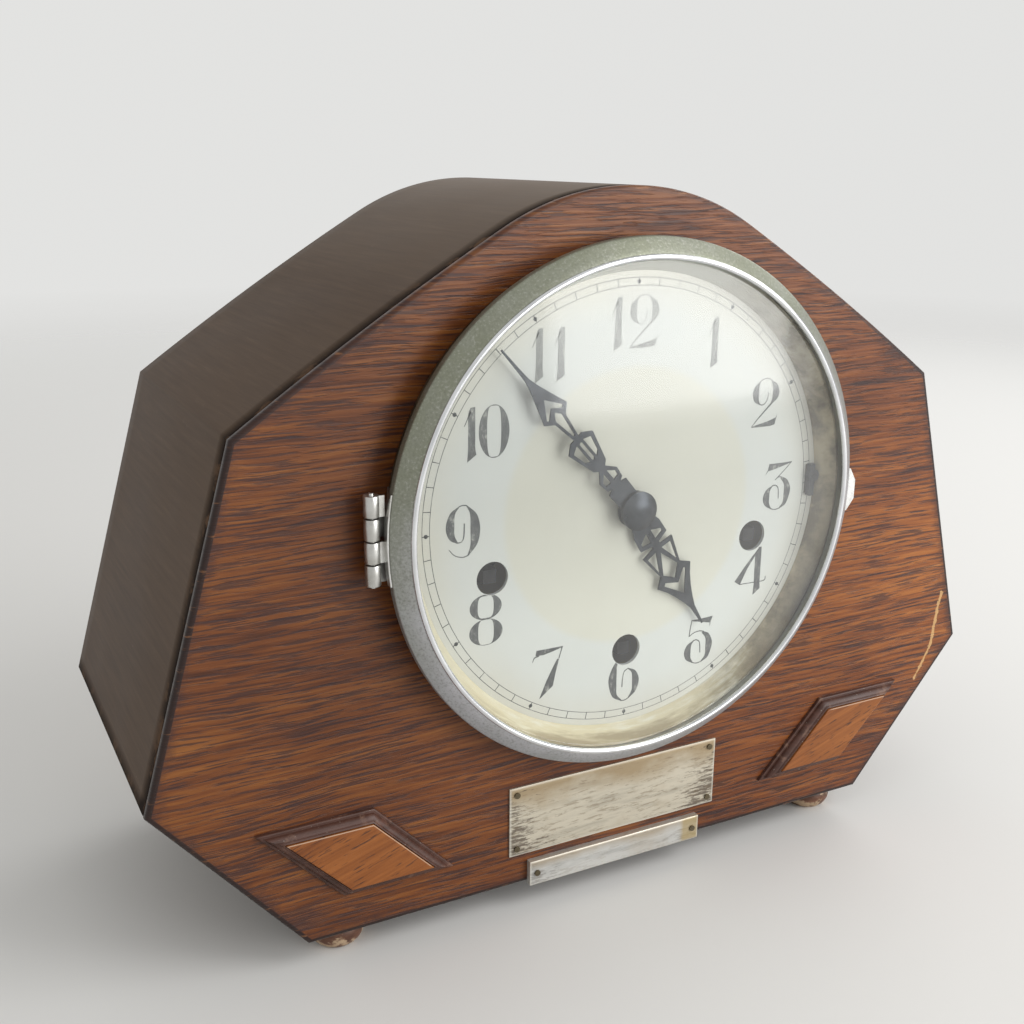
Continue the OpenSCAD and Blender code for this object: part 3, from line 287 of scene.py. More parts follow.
def oak_veneer():
    """Horizontal quarter-sawn oak: fine wavering streaks, short dark pores, ragged dark
    stain along the board's edges, worn light spots on the arrises, one chip and one
    scratch; and painted light, darker at the left and lighter at the right."""
    f = Finish("oak_veneer")
    x, y, z = f.split(f.coords)
    sway = f.noise((6, 6, 20), 3, 0.5)
    ripple = f.noise((34, 34, 60), 2, 0.5)
    zz = f.math("ADD", z, f.math("MULTIPLY", sway, 0.008))
    zz = f.math("ADD", zz, f.math("MULTIPLY", ripple, 0.0016))
    flow = f.join(x, y, zz)
    streak = f.noise((32, 32, 900), 5, 0.60, vec=flow)
    band = f.noise((15, 15, 260), 4, 0.6, vec=flow)
    broad = f.noise((4, 4, 24), 3, 0.55, vec=flow)
    pores = f.noise((58, 58, 1250), 3, 0.6, vec=flow)
    dashes = f.noise((34, 34, 720), 4, 0.62, loc=(2, 5, 3), vec=flow)
    tone = f.blend((streak, 0.52), (band, 0.24), (broad, 0.24))
    color = f.ramp(tone, [(0.36, (0.088, 0.025, 0.0090)), (0.44, (0.162, 0.046, 0.0115)),
                          (0.50, (0.238, 0.071, 0.0150)), (0.57, (0.312, 0.105, 0.0215)),
                          (0.68, (0.412, 0.160, 0.0380))])
    # painted light: the colour darker towards the left and lighter towards the right, as the light
    # falls from the right
    painted_light_across = f.ramp(f.math("ADD", f.math("MULTIPLY", x, 3.0), 0.5),
                  [(0.05, 0.66), (0.20, 0.60), (0.50, 0.76), (0.95, 1.0)])
    color = f.mix(1.0, color, painted_light_across, "MULTIPLY")
    pit = f.ramp(pores, [(0.415, 1.0), (0.475, 0.0)])
    color = f.mix(f.math("MULTIPLY", pit, 0.70), color, (0.034, 0.016, 0.016))
    dash = f.ramp(dashes, [(0.38, 1.0), (0.445, 0.0)])
    color = f.mix(f.math("MULTIPLY", dash, 0.72), color, (0.030, 0.015, 0.017))
    patch = f.noise((9, 9, 14), 3)
    color = f.mix(f.ramp(patch, [(0.38, 0.0), (0.68, 0.5)]), color, (0.30, 0.17, 0.10), "MULTIPLY")
    edge = f.attribute("rim")
    ragged = f.noise((95, 95, 130), 6, 0.75)
    stain = f.math("ADD", edge, f.math("MULTIPLY", ragged, 1.2))
    below = f.ramp(f.math("MULTIPLY", z, 4), [(0.66, 1.0), (0.84, 0.30)])
    stain = f.ramp(f.math("MULTIPLY", stain, 0.5), [(0.59, 0.0), (0.80, 0.80)])
    color = f.mix(f.math("MULTIPLY", stain, below), color, (0.038, 0.015, 0.013))
    worn = f.noise((55, 55, 420), 5, 0.7, loc=(3, 1, 7))
    # near-black rounded edge: partly the dark joint with the shell, partly painted shade on the eased
    # edge that faces away from the light; less of it on the upper edges
    black = f.math("MULTIPLY", f.ramp(edge, [(0.93, 0.0), (1.0, 0.85)]), below)
    color = f.mix(black, color, (0.014, 0.007, 0.006))
    rub = f.math("MULTIPLY", f.ramp(edge, [(0.80, 0.0), (0.97, 1.0)]),
                 f.ramp(worn, [(0.58, 0.0), (0.66, 1.0)]))
    color = f.mix(f.math("MULTIPLY", rub, 0.5), color, (0.30, 0.13, 0.050))
    bare = f.near_lines(BARE_LINES)
    crumble = f.noise((330, 330, 330), 4, 0.7)
    lost = f.blend((bare, 0.5), (crumble, 0.8))
    lost = f.ramp(lost, [(0.72, 0.0), (0.79, 0.85)])
    color = f.mix(lost, color, (0.52, 0.31, 0.13))
    rough = f.ramp(streak, [(0.35, 0.46), (0.7, 0.33)])
    lines = f.math("SUBTRACT", streak, f.math("MULTIPLY", pit, 0.5))
    lines = f.math("SUBTRACT", lines, f.math("MULTIPLY", lost, 1.2))
    return f.done(color, rough, normal=f.bump(lines, 0.00022, 0.6),
                  Specular_IOR_Level=0.30, Coat_Weight=0.05, Coat_Roughness=0.25)


def dark_stain():
    """Dark brown stain over a fine grain, with lighter worn clouds and scuffs, black
    arrises, and a painted sheen that lightens the crown."""
    f = Finish("stained_shell")
    grain = f.noise((30, 5, 30), 6, 0.65)
    cloud = f.noise((8, 6, 8), 4, 0.6)
    fine = f.noise((620, 30, 620), 4, 0.65)
    speck = f.noise((420, 180, 420), 4, 0.7)
    tone = f.blend((grain, 0.35), (fine, 0.65))
    color = f.ramp(tone, [(0.3, (0.044, 0.022, 0.010)), (0.55, (0.070, 0.039, 0.020)),
                          (0.75, (0.102, 0.061, 0.034))])
    color = f.mix(f.ramp(cloud, [(0.38, 0.0), (0.72, 0.45)]), color, (0.102, 0.066, 0.040))
    color = f.mix(f.ramp(speck, [(0.66, 0.0), (0.74, 0.35)]), color, (0.14, 0.10, 0.075))
    _, _, z = f.split(f.coords)
    # painted sheen: the colour lightened over the crown, above 0.20 m
    high = f.ramp(f.math("MULTIPLY", f.math("SUBTRACT", z, 0.20), 25), [(0.1, 0.0), (0.85, 0.30)])
    color = f.mix(high, color, (0.26, 0.21, 0.165))
    edge = f.attribute("rim")
    scuff = f.noise((70, 70, 70), 5, 0.7, loc=(5, 2, 1))
    color = f.mix(f.math("MULTIPLY", edge, 0.95), color, (0.012, 0.007, 0.005))
    color = f.mix(f.math("MULTIPLY", edge, f.ramp(scuff, [(0.54, 0.0), (0.62, 0.5)])), color,
                  (0.16, 0.090, 0.050))
    rough = f.ramp(cloud, [(0.3, 0.42), (0.7, 0.54)])
    rough = f.math("ADD", rough, f.math("MULTIPLY", edge, 0.4))
    return f.done(color, rough, normal=f.bump(fine, 0.00012, 0.5), Specular_IOR_Level=0.12)


def carcase_wood():
    """Plain brown plywood and softwood, matt, with a straight grain."""
    f = Finish("carcase_wood")
    grain = f.noise((14, 60, 380), 6, 0.6)
    color = f.ramp(grain, [(0.3, (0.13, 0.072, 0.036)), (0.55, (0.235, 0.145, 0.078)),
                           (0.75, (0.31, 0.20, 0.115))])
    return f.done(color, 0.72, normal=f.bump(grain, 0.0002, 0.5))


def stained_moulding():
    """Purple-brown stained wood with a soft sheen, dust specks and worn light arrises."""
    f = Finish("stained_moulding")
    grain = f.noise((60, 60, 420), 6, 0.6)
    wear = f.noise((150, 150, 150), 5, 0.65)
    speck = f.noise((900, 900, 900), 3, 0.6)
    color = f.ramp(grain, [(0.3, (0.034, 0.013, 0.008)), (0.6, (0.075, 0.031, 0.021)),
                           (0.8, (0.120, 0.054, 0.037))])
    color = f.mix(f.ramp(wear, [(0.58, 0.0), (0.70, 0.6)]), color, (0.22, 0.125, 0.085))
    color = f.mix(f.ramp(speck, [(0.68, 0.0), (0.72, 0.6)]), color, (0.45, 0.40, 0.34))
    return f.done(color, f.ramp(wear, [(0.3, 0.34), (0.7, 0.5)]), normal=f.bump(grain, 0.00015, 0.5),
                  Specular_IOR_Level=0.36)


def foot_wood():
    """Turned feet: chestnut stain rubbed through to cream in patches."""
    f = Finish("foot_wood")
    _, _, z = f.split(f.coords)
    grain = f.noise((120, 120, 420), 5, 0.6)
    patch = f.noise((210, 210, 260), 5, 0.65)
    low = f.ramp(f.math("MULTIPLY", z, 100), [(0.1, 0.12), (0.8, 0.0)])
    color = f.ramp(grain, [(0.3, (0.060, 0.024, 0.014)), (0.7, (0.170, 0.075, 0.043))])
    color = f.mix(f.ramp(f.math("ADD", patch, low), [(0.56, 0.0), (0.64, 0.85)]), color,
                  (0.46, 0.33, 0.21))
    return f.done(color, 0.45, normal=f.bump(patch, 0.0001, 0.5), Specular_IOR_Level=0.35)


def oak_panel():
    """Lighter orange-brown oak of the lozenges' panels, grain along the lean."""
    f = Finish("oak_panel")
    vec = f.moved(rot=(0, math.radians(18), 0))
    streak = f.noise((26, 26, 620), 7, 0.62, vec=vec)
    broad = f.noise((12, 12, 60), 4, vec=vec)
    tone = f.blend((streak, 0.6), (broad, 0.4))
    color = f.ramp(tone, [(0.33, (0.12, 0.034, 0.008)), (0.47, (0.19, 0.058, 0.012)),
                          (0.62, (0.27, 0.090, 0.020)), (0.75, (0.34, 0.126, 0.034))])
    fleck = f.noise((160, 160, 1500), 2, 0.5, vec=vec)
    pit = f.ramp(fleck, [(0.33, 1.0), (0.38, 0.0)])
    color = f.mix(f.math("MULTIPLY", pit, 0.75), color, (0.045, 0.018, 0.012))
    # painted highlight: a pale line along the panel's rounded arris, from the arris attribute
    color = f.mix(f.ramp(f.attribute("arris"), [(0.3, 0.0), (0.8, 0.6)]), color, (0.55, 0.40, 0.28))
    return f.done(color, 0.42, normal=f.bump(streak, 0.00016, 0.5), Specular_IOR_Level=0.32)


# ---------------------------------------------------------------- metal and dial finishes
def metal(name, dark, light, rough, scale=40, bump=0.00004):
    """Metal whose colour and gloss wander with a cloudy pattern, over a fine grain."""
    f = Finish(name)
    cloud = f.noise((scale,) * 3, 5, 0.6)
    grit = f.noise((900, 900, 900), 2, 0.6)
    color = f.ramp(cloud, [(0.32, dark), (0.68, light)])
    r = f.ramp(f.blend((cloud, 0.6), (grit, 0.4)),
               [(0.35, rough[0]), (0.65, rough[1])])
    return f.done(color, r, 1.0, f.bump(grit, bump, 0.6))


def bezel_metal():
    """Worn plating on the bezel's sloping band: olive green over the top and the left,
    lilac grey below, finely pitted all over."""
    f = Finish("bezel_metal")
    x, _, z = f.split(f.moved(loc=(0, 0, -DIAL_Z)))
    lean = f.math("SUBTRACT", f.math("MULTIPLY", z, 7.5), f.math("MULTIPLY", x, 2.2))
    cloud = f.noise((75, 75, 75), 5, 0.6)
    spots = f.noise((1300, 1300, 1300), 3, 0.65)
    green = f.ramp(f.math("ADD", lean, f.math("MULTIPLY", cloud, 0.45)), [(0.02, 0.0), (0.55, 1.0)])
    radius = f.length(f.join(x, 0.0, z))
    inner = f.ramp(f.math("MULTIPLY", radius, 10), [(0.802, 1.0), (0.829, 0.0)])
    inner = f.math("MULTIPLY", inner, f.math("SUBTRACT", 1.0, green))
    color = f.mix(green, (0.43, 0.435, 0.455), (0.225, 0.235, 0.175))
    color = f.mix(f.math("MULTIPLY", inner, 0.7), color, (0.56, 0.555, 0.585))
    wall = f.ramp(f.math("MULTIPLY", radius, 10), [(0.7875, 1.0), (0.794, 0.0)])
    color = f.mix(f.ramp(cloud, [(0.40, 0.0), (0.72, 0.4)]), color, (0.33, 0.335, 0.315))
    color = f.mix(f.ramp(spots, [(0.50, 0.0), (0.66, 0.40)]), color, (0.16, 0.165, 0.13))
    color = f.mix(f.ramp(spots, [(0.34, 0.3), (0.44, 0.0)]), color, (0.50, 0.50, 0.47))
    rough = f.ramp(f.blend((cloud, 0.5), (spots, 0.5)),
                   [(0.35, 0.36), (0.65, 0.56)])
    color = f.mix(wall, color, (0.50, 0.48, 0.47))
    return f.done(color, rough, 0.75, f.bump(spots, 0.00006, 0.7))


def dial_silver():
    """Matt silvered dial: fine circular brushing, a creamier middle disc, faint age, and painted light
    that darkens it towards the top and the left.
    """
    f = Finish("dial_silver")
    x, _, z = f.split(f.moved(loc=(0, 0, -DIAL_Z)))
    radius = f.length(f.join(x, 0.0, z))
    rings = f.noise((2600, 1, 1), 2, 0.6, vec=f.join(radius, 0.0, 0.0))
    cloud = f.noise((28, 28, 28), 4, 0.6)
    disc = f.ramp(f.math("MULTIPLY", radius, 10), [(0.438, 1.0), (0.462, 0.0)])
    color = f.mix(disc, (0.755, 0.765, 0.755), (0.760, 0.740, 0.665))
    # painted light: the colour darker towards the top and towards the left, lighter low down and at
    # the right
    down = f.ramp(f.math("SUBTRACT", 0.5, f.math("MULTIPLY", z, 7)),
                  [(0.10, 0.66), (0.45, 0.72), (0.60, 0.82), (0.75, 0.97), (0.90, 1.0)])
    across = f.ramp(f.math("ADD", f.math("MULTIPLY", x, 6), 0.5), [(0.08, 0.86), (0.92, 1.0)])
    color = f.mix(1.0, f.mix(1.0, color, down, "MULTIPLY"), across, "MULTIPLY")
    outer = f.ramp(f.math("MULTIPLY", radius, 10), [(0.60, 0.0), (0.745, 0.55)])
    color = f.mix(f.math("MULTIPLY", outer, cloud), color, (0.60, 0.51, 0.36))
    color = f.mix(f.ramp(cloud, [(0.35, 0.0), (0.75, 0.16)]), color, (0.56, 0.52, 0.44))
    rough = f.ramp(rings, [(0.3, 0.34), (0.7, 0.44)])
    return f.done(color, rough, 0.25, f.bump(rings, 0.00001, 0.5), Specular_IOR_Level=0.5)


def sight_silver():
    """Silvered slope: pale above, cream going to ochre below, smudged grey-brown at the
    right, pale cream streaks low down as a painted highlight, and painted shade, near black, low at
    the right towards the bezel's lip."""
    f = Finish("sight_silver")
    x, _, z = f.split(f.moved(loc=(0, 0, -DIAL_Z)))
    radius = f.length(f.join(x, 0.0, z))
    cloud = f.noise((46, 46, 46), 5, 0.62)
    out = f.math("MULTIPLY", f.math("SUBTRACT", radius, 0.0747), 330, True)
    low = f.ramp(f.math("SUBTRACT", f.math("MULTIPLY", cloud, 0.3), f.math("MULTIPLY", z, 7)),
                 [(0.0, 0.0), (0.55, 1.0)])
    side = f.ramp(f.blend((cloud, 0.35), (x, 8)),
                  [(0.35, 0.0), (0.75, 1.0)])
    color = f.mix(low, (0.60, 0.59, 0.54), (0.76, 0.67, 0.47))
    color = f.mix(side, color, f.mix(low, (0.36, 0.30, 0.19), (0.31, 0.24, 0.13)))
    # painted shade: near black low at the right towards the outside, where the bezel's lip shades the
    # slope
    lip_shade = f.math("MULTIPLY", f.math("MULTIPLY", side, low), out)
    color = f.mix(f.math("MULTIPLY", lip_shade, 1.3, True), color, (0.045, 0.038, 0.030))
    inverse = f.math("DIVIDE", 1.0, radius)
    around = f.join(f.math("MULTIPLY", x, inverse), f.math("MULTIPLY", radius, 420),
                    f.math("MULTIPLY", z, inverse))
    round_streaks = f.noise((2.6, 1.0, 2.6), 5, 0.65, vec=around)
    under = f.ramp(f.math("SUBTRACT", -0.02, z), [(0.02, 0.0), (0.05, 1.0)])
    # painted highlight: pale cream streaks round the low part of the slope
    color = f.mix(f.math("MULTIPLY", under, f.ramp(round_streaks, [(0.50, 0.0), (0.62, 0.8)])), color,
                  (0.88, 0.845, 0.75))
    brown = f.ramp(f.math("ADD", round_streaks, f.math("MULTIPLY", out, -0.16)), [(0.27, 0.65), (0.43, 0.0)])
    color = f.mix(f.math("MULTIPLY", under, brown), color, (0.29, 0.21, 0.12))
    smudge = f.ramp(f.noise((95, 95, 95), 5, 0.65), [(0.42, 0.0), (0.64, 1.0)])
    color = f.mix(f.math("MULTIPLY", smudge, side), color, (0.090, 0.064, 0.022))
    return f.done(color, 0.36, 0.30, f.bump(cloud, 0.0001, 0.4))


def plaque_silver(name, base, tarnish, gilt):
    """Worn plating: pale silver over the middle, yellowed base metal, brown tarnish that
    gathers in streaks near the ends and along the top, and a painted highlight, a bright line, along
    the edge."""
    f = Finish(name)
    wipe = f.noise((24, 24, 210), 7, 0.68)
    fine = f.noise((190, 190, 1300), 5, 0.7)
    cloud = f.noise((48, 48, 70), 4, 0.6)
    near_end, near_top, rim = (f.attribute(k) for k in ("near_end", "near_top", "rim"))
    color = f.ramp(wipe, [(0.34, [0.70 * c for c in base]), (0.5, base),
                          (0.7, [min(1.1 * c, 0.9) for c in base])])
    worn = f.blend((near_top, 0.55), (cloud, 0.9))
    color = f.mix(f.ramp(worn, [(0.50, 0.0), (0.88, gilt)]), color, (0.34, 0.25, 0.14))
    streak = f.math("ADD", f.math("MULTIPLY", near_end, 0.20), fine)
    color = f.mix(f.ramp(streak, [(0.64, 0.0), (0.72, tarnish)]), color, (0.085, 0.060, 0.045))
    flecks = f.noise((170, 170, 950), 5, 0.7, loc=(4, 2, 1))
    scatter = f.math("SUBTRACT", flecks, f.math("MULTIPLY", near_top, 0.06))
    color = f.mix(f.ramp(scatter, [(0.53, 0.0), (0.62, 0.6 * tarnish)]), color, (0.19, 0.14, 0.085))
    color = f.mix(f.attribute("gold"), color, (0.42, 0.31, 0.12))
    # painted highlight: a bright line along the plate's bevelled edge, from the rim attribute
    color = f.mix(f.math("MULTIPLY", rim, 0.6), color, (0.78, 0.76, 0.68))
    rough = f.ramp(wipe, [(0.35, 0.55), (0.7, 0.36)])
    return f.done(color, rough, 0.65, f.bump(fine, 0.00004, 0.6))


def ink(name, fade):
    """Grey-black printing, thin in places and faded towards the top of the dial."""
    f = Finish(name)
    _, _, z = f.split(f.moved(loc=(0, 0, -DIAL_Z)))
    worn = f.noise((700, 700, 350), 4, 0.7)
    color = f.ramp(worn, [(0.38, (0.040, 0.042, 0.047)), (0.57, (0.085, 0.087, 0.090)),
                          (0.70, (0.32, 0.32, 0.30))])
    faded = f.ramp(f.math("MULTIPLY", z, 10), [(0.28, 0.0), (0.60, fade)])
    return f.done(f.mix(faded, color, (0.50, 0.50, 0.48)), 0.5)


def clear_glass():
    """Thin old glass: see-through, under a faint uneven film of dust, with a mirror
    reflection that grows at the edges."""
    f = Finish("clear_glass")
    nt = f.nt
    nt.nodes.remove(f.shader)
    clear = nt.nodes.new("ShaderNodeBsdfTransparent")
    clear.inputs["Color"].default_value = (0.965, 0.975, 0.965, 1)
    gloss = nt.nodes.new("ShaderNodeBsdfGlossy")
    gloss.inputs["Color"].default_value = (0.85, 0.85, 0.85, 1)
    gloss.inputs["Roughness"].default_value = 0.10
    edge = nt.nodes.new("ShaderNodeFresnel")
    edge.inputs["IOR"].default_value = 1.5
    side = nt.nodes.new("ShaderNodeNewGeometry")
    outer = f.math("SUBTRACT", 1.0, side.outputs["Backfacing"])
    dust = nt.nodes.new("ShaderNodeBsdfDiffuse")
    dust.inputs["Color"].default_value = (0.80, 0.80, 0.79, 1)
    x, _, z = f.split(f.coords)
    cloud = f.noise((22, 22, 22), 4, 0.6)
    film = f.ramp(f.math("ADD", f.math("MULTIPLY", x, 3.2), cloud), [(0.25, 0.04), (0.85, 0.14)])
    radius = f.length(f.join(x, 0.0, f.math("SUBTRACT", z, DIAL_Z)))
    film = f.math("MULTIPLY", film, f.ramp(f.math("MULTIPLY", radius, 10), [(0.68, 1.0), (0.76, 0.5)]))
    dusty = nt.nodes.new("ShaderNodeMixShader")
    f.link(f.math("MULTIPLY", film, outer), dusty.inputs[0])
    f.link(clear.outputs[0], dusty.inputs[1])
    f.link(dust.outputs[0], dusty.inputs[2])
    both = nt.nodes.new("ShaderNodeMixShader")
    f.link(f.math("MULTIPLY", edge.outputs[0], outer), both.inputs[0])
    f.link(dusty.outputs[0], both.inputs[1])
    f.link(gloss.outputs[0], both.inputs[2])
    f.link(both.outputs[0], nt.nodes["Material Output"].inputs["Surface"])
    return f.mat


def gong_iron():
    """Rough black cast iron."""
    f = Finish("gong_iron")
    lump = f.noise((700, 700, 700), 5, 0.6)
    color = f.ramp(lump, [(0.35, (0.012, 0.012, 0.013)), (0.7, (0.04, 0.038, 0.036))])
    return f.done(color, 0.75, 0.2, f.bump(lump, 0.0005, 0.7))


FIN = {
    "oak_veneer": oak_veneer(), "stained_shell": dark_stain(), "carcase_wood": carcase_wood(),
    "stained_moulding": stained_moulding(), "oak_panel": oak_panel(),
    "plaque_metal": plaque_silver("plaque_metal", (0.55, 0.505, 0.41), 0.8, 0.85),
    "aged_brass": metal("aged_brass", (0.080, 0.065, 0.042), (0.21, 0.175, 0.115), (0.35, 0.55)),
    "dial_silver": dial_silver(), "sight_silver": sight_silver(), "bezel_metal": bezel_metal(),
    "nickel": metal("nickel", (0.60, 0.60, 0.585), (0.80, 0.80, 0.79), (0.16, 0.34), 120),
    "clear_glass": clear_glass(),
    "hand_steel": metal("hand_steel", (0.030, 0.033, 0.040), (0.075, 0.080, 0.092),
                        (0.26, 0.42), 160),
    "clock_brass": metal("clock_brass", (0.50, 0.35, 0.13), (0.68, 0.52, 0.24), (0.24, 0.42), 50),
    "steel": metal("steel", (0.38, 0.38, 0.39), (0.56, 0.56, 0.57), (0.22, 0.38), 80),
    "gong_iron": gong_iron(),
}
# painted shade: the arbors' steel is made near black, as dark as the shade in the winding holes
arbor_finish = metal("arbor_steel", (0.012, 0.012, 0.014), (0.030, 0.030, 0.033), (0.5, 0.7), 900)
foot_finish = foot_wood()
hinge_nickel = metal("hinge_nickel", (0.46, 0.45, 0.42), (0.66, 0.66, 0.64), (0.26, 0.42), 160)
tag_finish = plaque_silver("tag_metal", (0.56, 0.555, 0.53), 0.4, 0.6)
lip_finish = metal("bright_lip", (0.66, 0.67, 0.69), (0.84, 0.85, 0.87), (0.10, 0.2), 60, 0.00002)
print_ink = ink("print_ink", 0.48)
track_ink = ink("track_ink", 0.10)

slots = {s["node"]: s["material_slot"] for s in frame["record"]["subparts"]}
for node_name, node_obj in NODES.items():
    if not node_obj.material_slots:
        node_obj.data.materials.append(FIN[slots[node_name]])
    for s in node_obj.material_slots:
        s.material = FIN[slots[node_name]]
        if node_name in ("strike_arbor", "time_arbor", "chime_arbor"):
            s.material = arbor_finish                          # painted shade: near black, so that they vanish in the holes' shade

# ---------------------------------------------------------------- case
# The case's outline, in millimetres from the dial's centre, as in the part's source.
UPPER_HW, WIDE_HW, BASE_HW, WIDE_Z, BASE_Z = 125.5, 155.5, 110.0, -72.5, -127.5
CROWN_C, CROWN_R, SLANT_R = np.array([0, 13.5]), 85.0, 1090.0
TURN = math.radians(30.4)
SLANT_C = CROWN_C - (SLANT_R - CROWN_R) * np.array([math.sin(TURN), math.cos(TURN)])
SHELL_T, EYE_R = 8.0, 74.5


def meet(p, d, q, e):
    """Where the line through p along d meets the line through q along e."""
    t = ((q - p)[0] * e[1] - (q - p)[1] * e[0]) / (d[0] * e[1] - d[1] * e[0])
    return p + t * d


def case_edge(t, density=1.0):
    """The case's outline moved inwards by t, anticlockwise from the middle of its bottom:
    straight between the moved corners, then along the slant's and the crown's circles."""
    upper = np.array([UPPER_HW, SLANT_C[1] + math.sqrt(SLANT_R ** 2 - (UPPER_HW - SLANT_C[0]) ** 2)])
    wide, base = np.array([WIDE_HW, WIDE_Z]), np.array([BASE_HW, BASE_Z])
    d1, d2 = wide - base, upper - wide
    d1, d2 = d1 / np.linalg.norm(d1), d2 / np.linalg.norm(d2)
    left = lambda d: np.array([-d[1], d[0]])
    low = np.array([0, BASE_Z + t])
    b = meet(low, np.array([1.0, 0]), base + t * left(d1), d1)
    w = meet(base + t * left(d1), d1, wide + t * left(d2), d2)
    p = wide + t * left(d2) - SLANT_C
    q = p @ d2
    u = SLANT_C + p + d2 * (-q + math.sqrt(q * q - p @ p + (SLANT_R - t) ** 2))
    n = lambda k: max(2, int(k * density))
    run = lambda a, c, k: a + (c - a) * np.linspace(0, 1, n(k), endpoint=False)[:, None]
    start = math.degrees(math.atan2(*(u - SLANT_C)[::-1]))
    half = np.concatenate([
        run(low, b, 20), run(b, w, 14), run(w, u, 24),
        arc(*SLANT_C, SLANT_R - t, start, 90 - math.degrees(TURN), n(24))[:-1],
        arc(*CROWN_C, CROWN_R - t, 90 - math.degrees(TURN), 90, n(24))])
    other = half[-2:0:-1] * [-1, 1]
    return np.concatenate([half, other])


def front_veneer():
    """The front board as one skin: rows run from the round opening across the front face,
    over a rounded edge, back along the lip, in to the rebate and back again. rim is 0 over
    the face and grows over its last millimetres to more than 1 on the edge."""
    ease, margin, rebate = 1.3, 12, 8.2
    outer = case_edge(0, 3)
    eye = outer / np.linalg.norm(outer, axis=1)[:, None] * EYE_R
    inner = case_edge(margin, 3)
    rows, rim = [], []

    def row(xz, h, shade=0.0):
        """Adds the points xz at the height h, all with the same rim."""
        rows.append(put(xz[:, 0], xz[:, 1], h))
        rim.append(np.full(len(xz), shade))

    row(eye, -9)
    row(eye, 0)
    for s in np.linspace(0.05, 1, 24):
        row(eye + (inner - eye) * s, 0)
    for t in (10.5, 9, 7.5, 6, 5, 4, 3.2, 2.4, 1.8):
        row(case_edge(t, 3), 0, 1 - t / 11)
    turn = [(ease * (1 - math.sin(a)), ease * (math.cos(a) - 1)) for a in np.linspace(0, np.pi / 2, 7)]
    for t, h in turn + [(0, -2.5), (0.15, -2.85), (0.5, -3)]:
        row(case_edge(t, 3), h, 1.15)
    for t, h in ((rebate, -3), (rebate, -9)):
        row(case_edge(t, 3), h, 1.0)
    make("front_veneer", np.stack(rows), grid_faces(len(rows), len(outer), True, True), "case",
         FIN["oak_veneer"], stands_for=("front_board",),
         attrs={"rim": np.stack(rim)}, sharp=28)


def case_shell():
    """The band of side, top and bottom boards: the outline's skin from front to back with
    eased arrises, and the same outline moved in by the boards' thickness inside. rim is 1
    on the front arris, and falls from 1 to 0 over 1.6 mm from the lower corners."""
    body = [(0.5, -3.05), (0.12, -3.2), (0, -3.6)]
    body += [(0, h) for h in np.linspace(-10, -112, 18)]
    body += [(0, -119.3), (0.2, -119.8), (0.7, -120), (SHELL_T, -120), (SHELL_T, -3.05)]
    rows = [put(*case_edge(t).T, h) for t, h in body]
    outline = case_edge(0)
    corners = np.array([[WIDE_HW, WIDE_Z], [BASE_HW, BASE_Z],
                        [-WIDE_HW, WIDE_Z], [-BASE_HW, BASE_Z]])
    gap = np.linalg.norm(outline[:, None] - corners[None], axis=2).min(1)
    arris = np.clip(1 - gap / 1.6, 0, 1)
    rim = np.stack([np.maximum(arris, 1.0 if h > -3.7 else 0.0) for t, h in body])
    make("case_shell", np.stack(rows), grid_faces(len(rows), len(rows[0]), True, True), "case",
         FIN["stained_shell"], sharp=24, attrs={"rim": rim},
         stands_for=("top_panel", "side_panel_left", "side_panel_right", "lower_panel_left",
                     "lower_panel_right", "base_board"))


# Lozenge blocks, as in the part's source.
LOZ = np.array([[125, -85.5], [88, -85.5], [61.5, -113], [98.5, -113]], float)


def lozenge_edge(t):
    """The right lozenge's corners with every side moved inwards by t."""
    out = []
    for i in range(4):
        a, b, c = LOZ[i - 1], LOZ[i], LOZ[(i + 1) % 4]
        d, e = (b - a) / np.linalg.norm(b - a), (c - b) / np.linalg.norm(c - b)
        left = lambda v: np.array([-v[1], v[0]])
        out.append(meet(b + t * left(d), d, b + t * left(e), e))
    return np.array(out)


def lozenge_ring(section, side):
    """Rows of points, one row for each (inset, height) of the section, that follow the
    lozenge with every side moved inwards by the inset. side mirrors it."""
    steps = 14
    rows = []
    for t, h in section:
        c = lozenge_edge(t) * [side, 1]
        nxt = np.roll(c, -1, axis=0)
        s = np.linspace(0, 1, steps, endpoint=False)[None, :, None]
        xz = (c[:, None] + (nxt - c)[:, None] * s).reshape(-1, 2)
        rows.append(put(xz[:, 0], xz[:, 1], h))
    return np.stack(rows)


def lozenge_moulding(side):
    """A mitred moulding round the lozenge: a low rounded fillet, a quirk, a bellied slope
    that rises inwards and a narrow flat beside the panel."""
    section = [(0, 0), (0, 0.95), (0.10, 1.16), (0.28, 1.26), (0.62, 1.30), (0.82, 1.28),
               (0.92, 1.36)]
    section += [tuple(p) for p in arc(3.05, 1.25, 2.1, 172, 104, 12)]
    section += [(2.75, 3.62), (3.0, 3.92), (3.18, 3.96), (3.27, 3.86), (3.3, 3.7), (3.3, 0)]
    rows = lozenge_ring(section, side)
    name = "lozenge_frame_" + ("right" if side > 0 else "left")
    make(name + "_moulding", rows, grid_faces(len(rows), rows.shape[1], True, True), "case",
         FIN["stained_moulding"], stands_for=(name,), sharp=40)


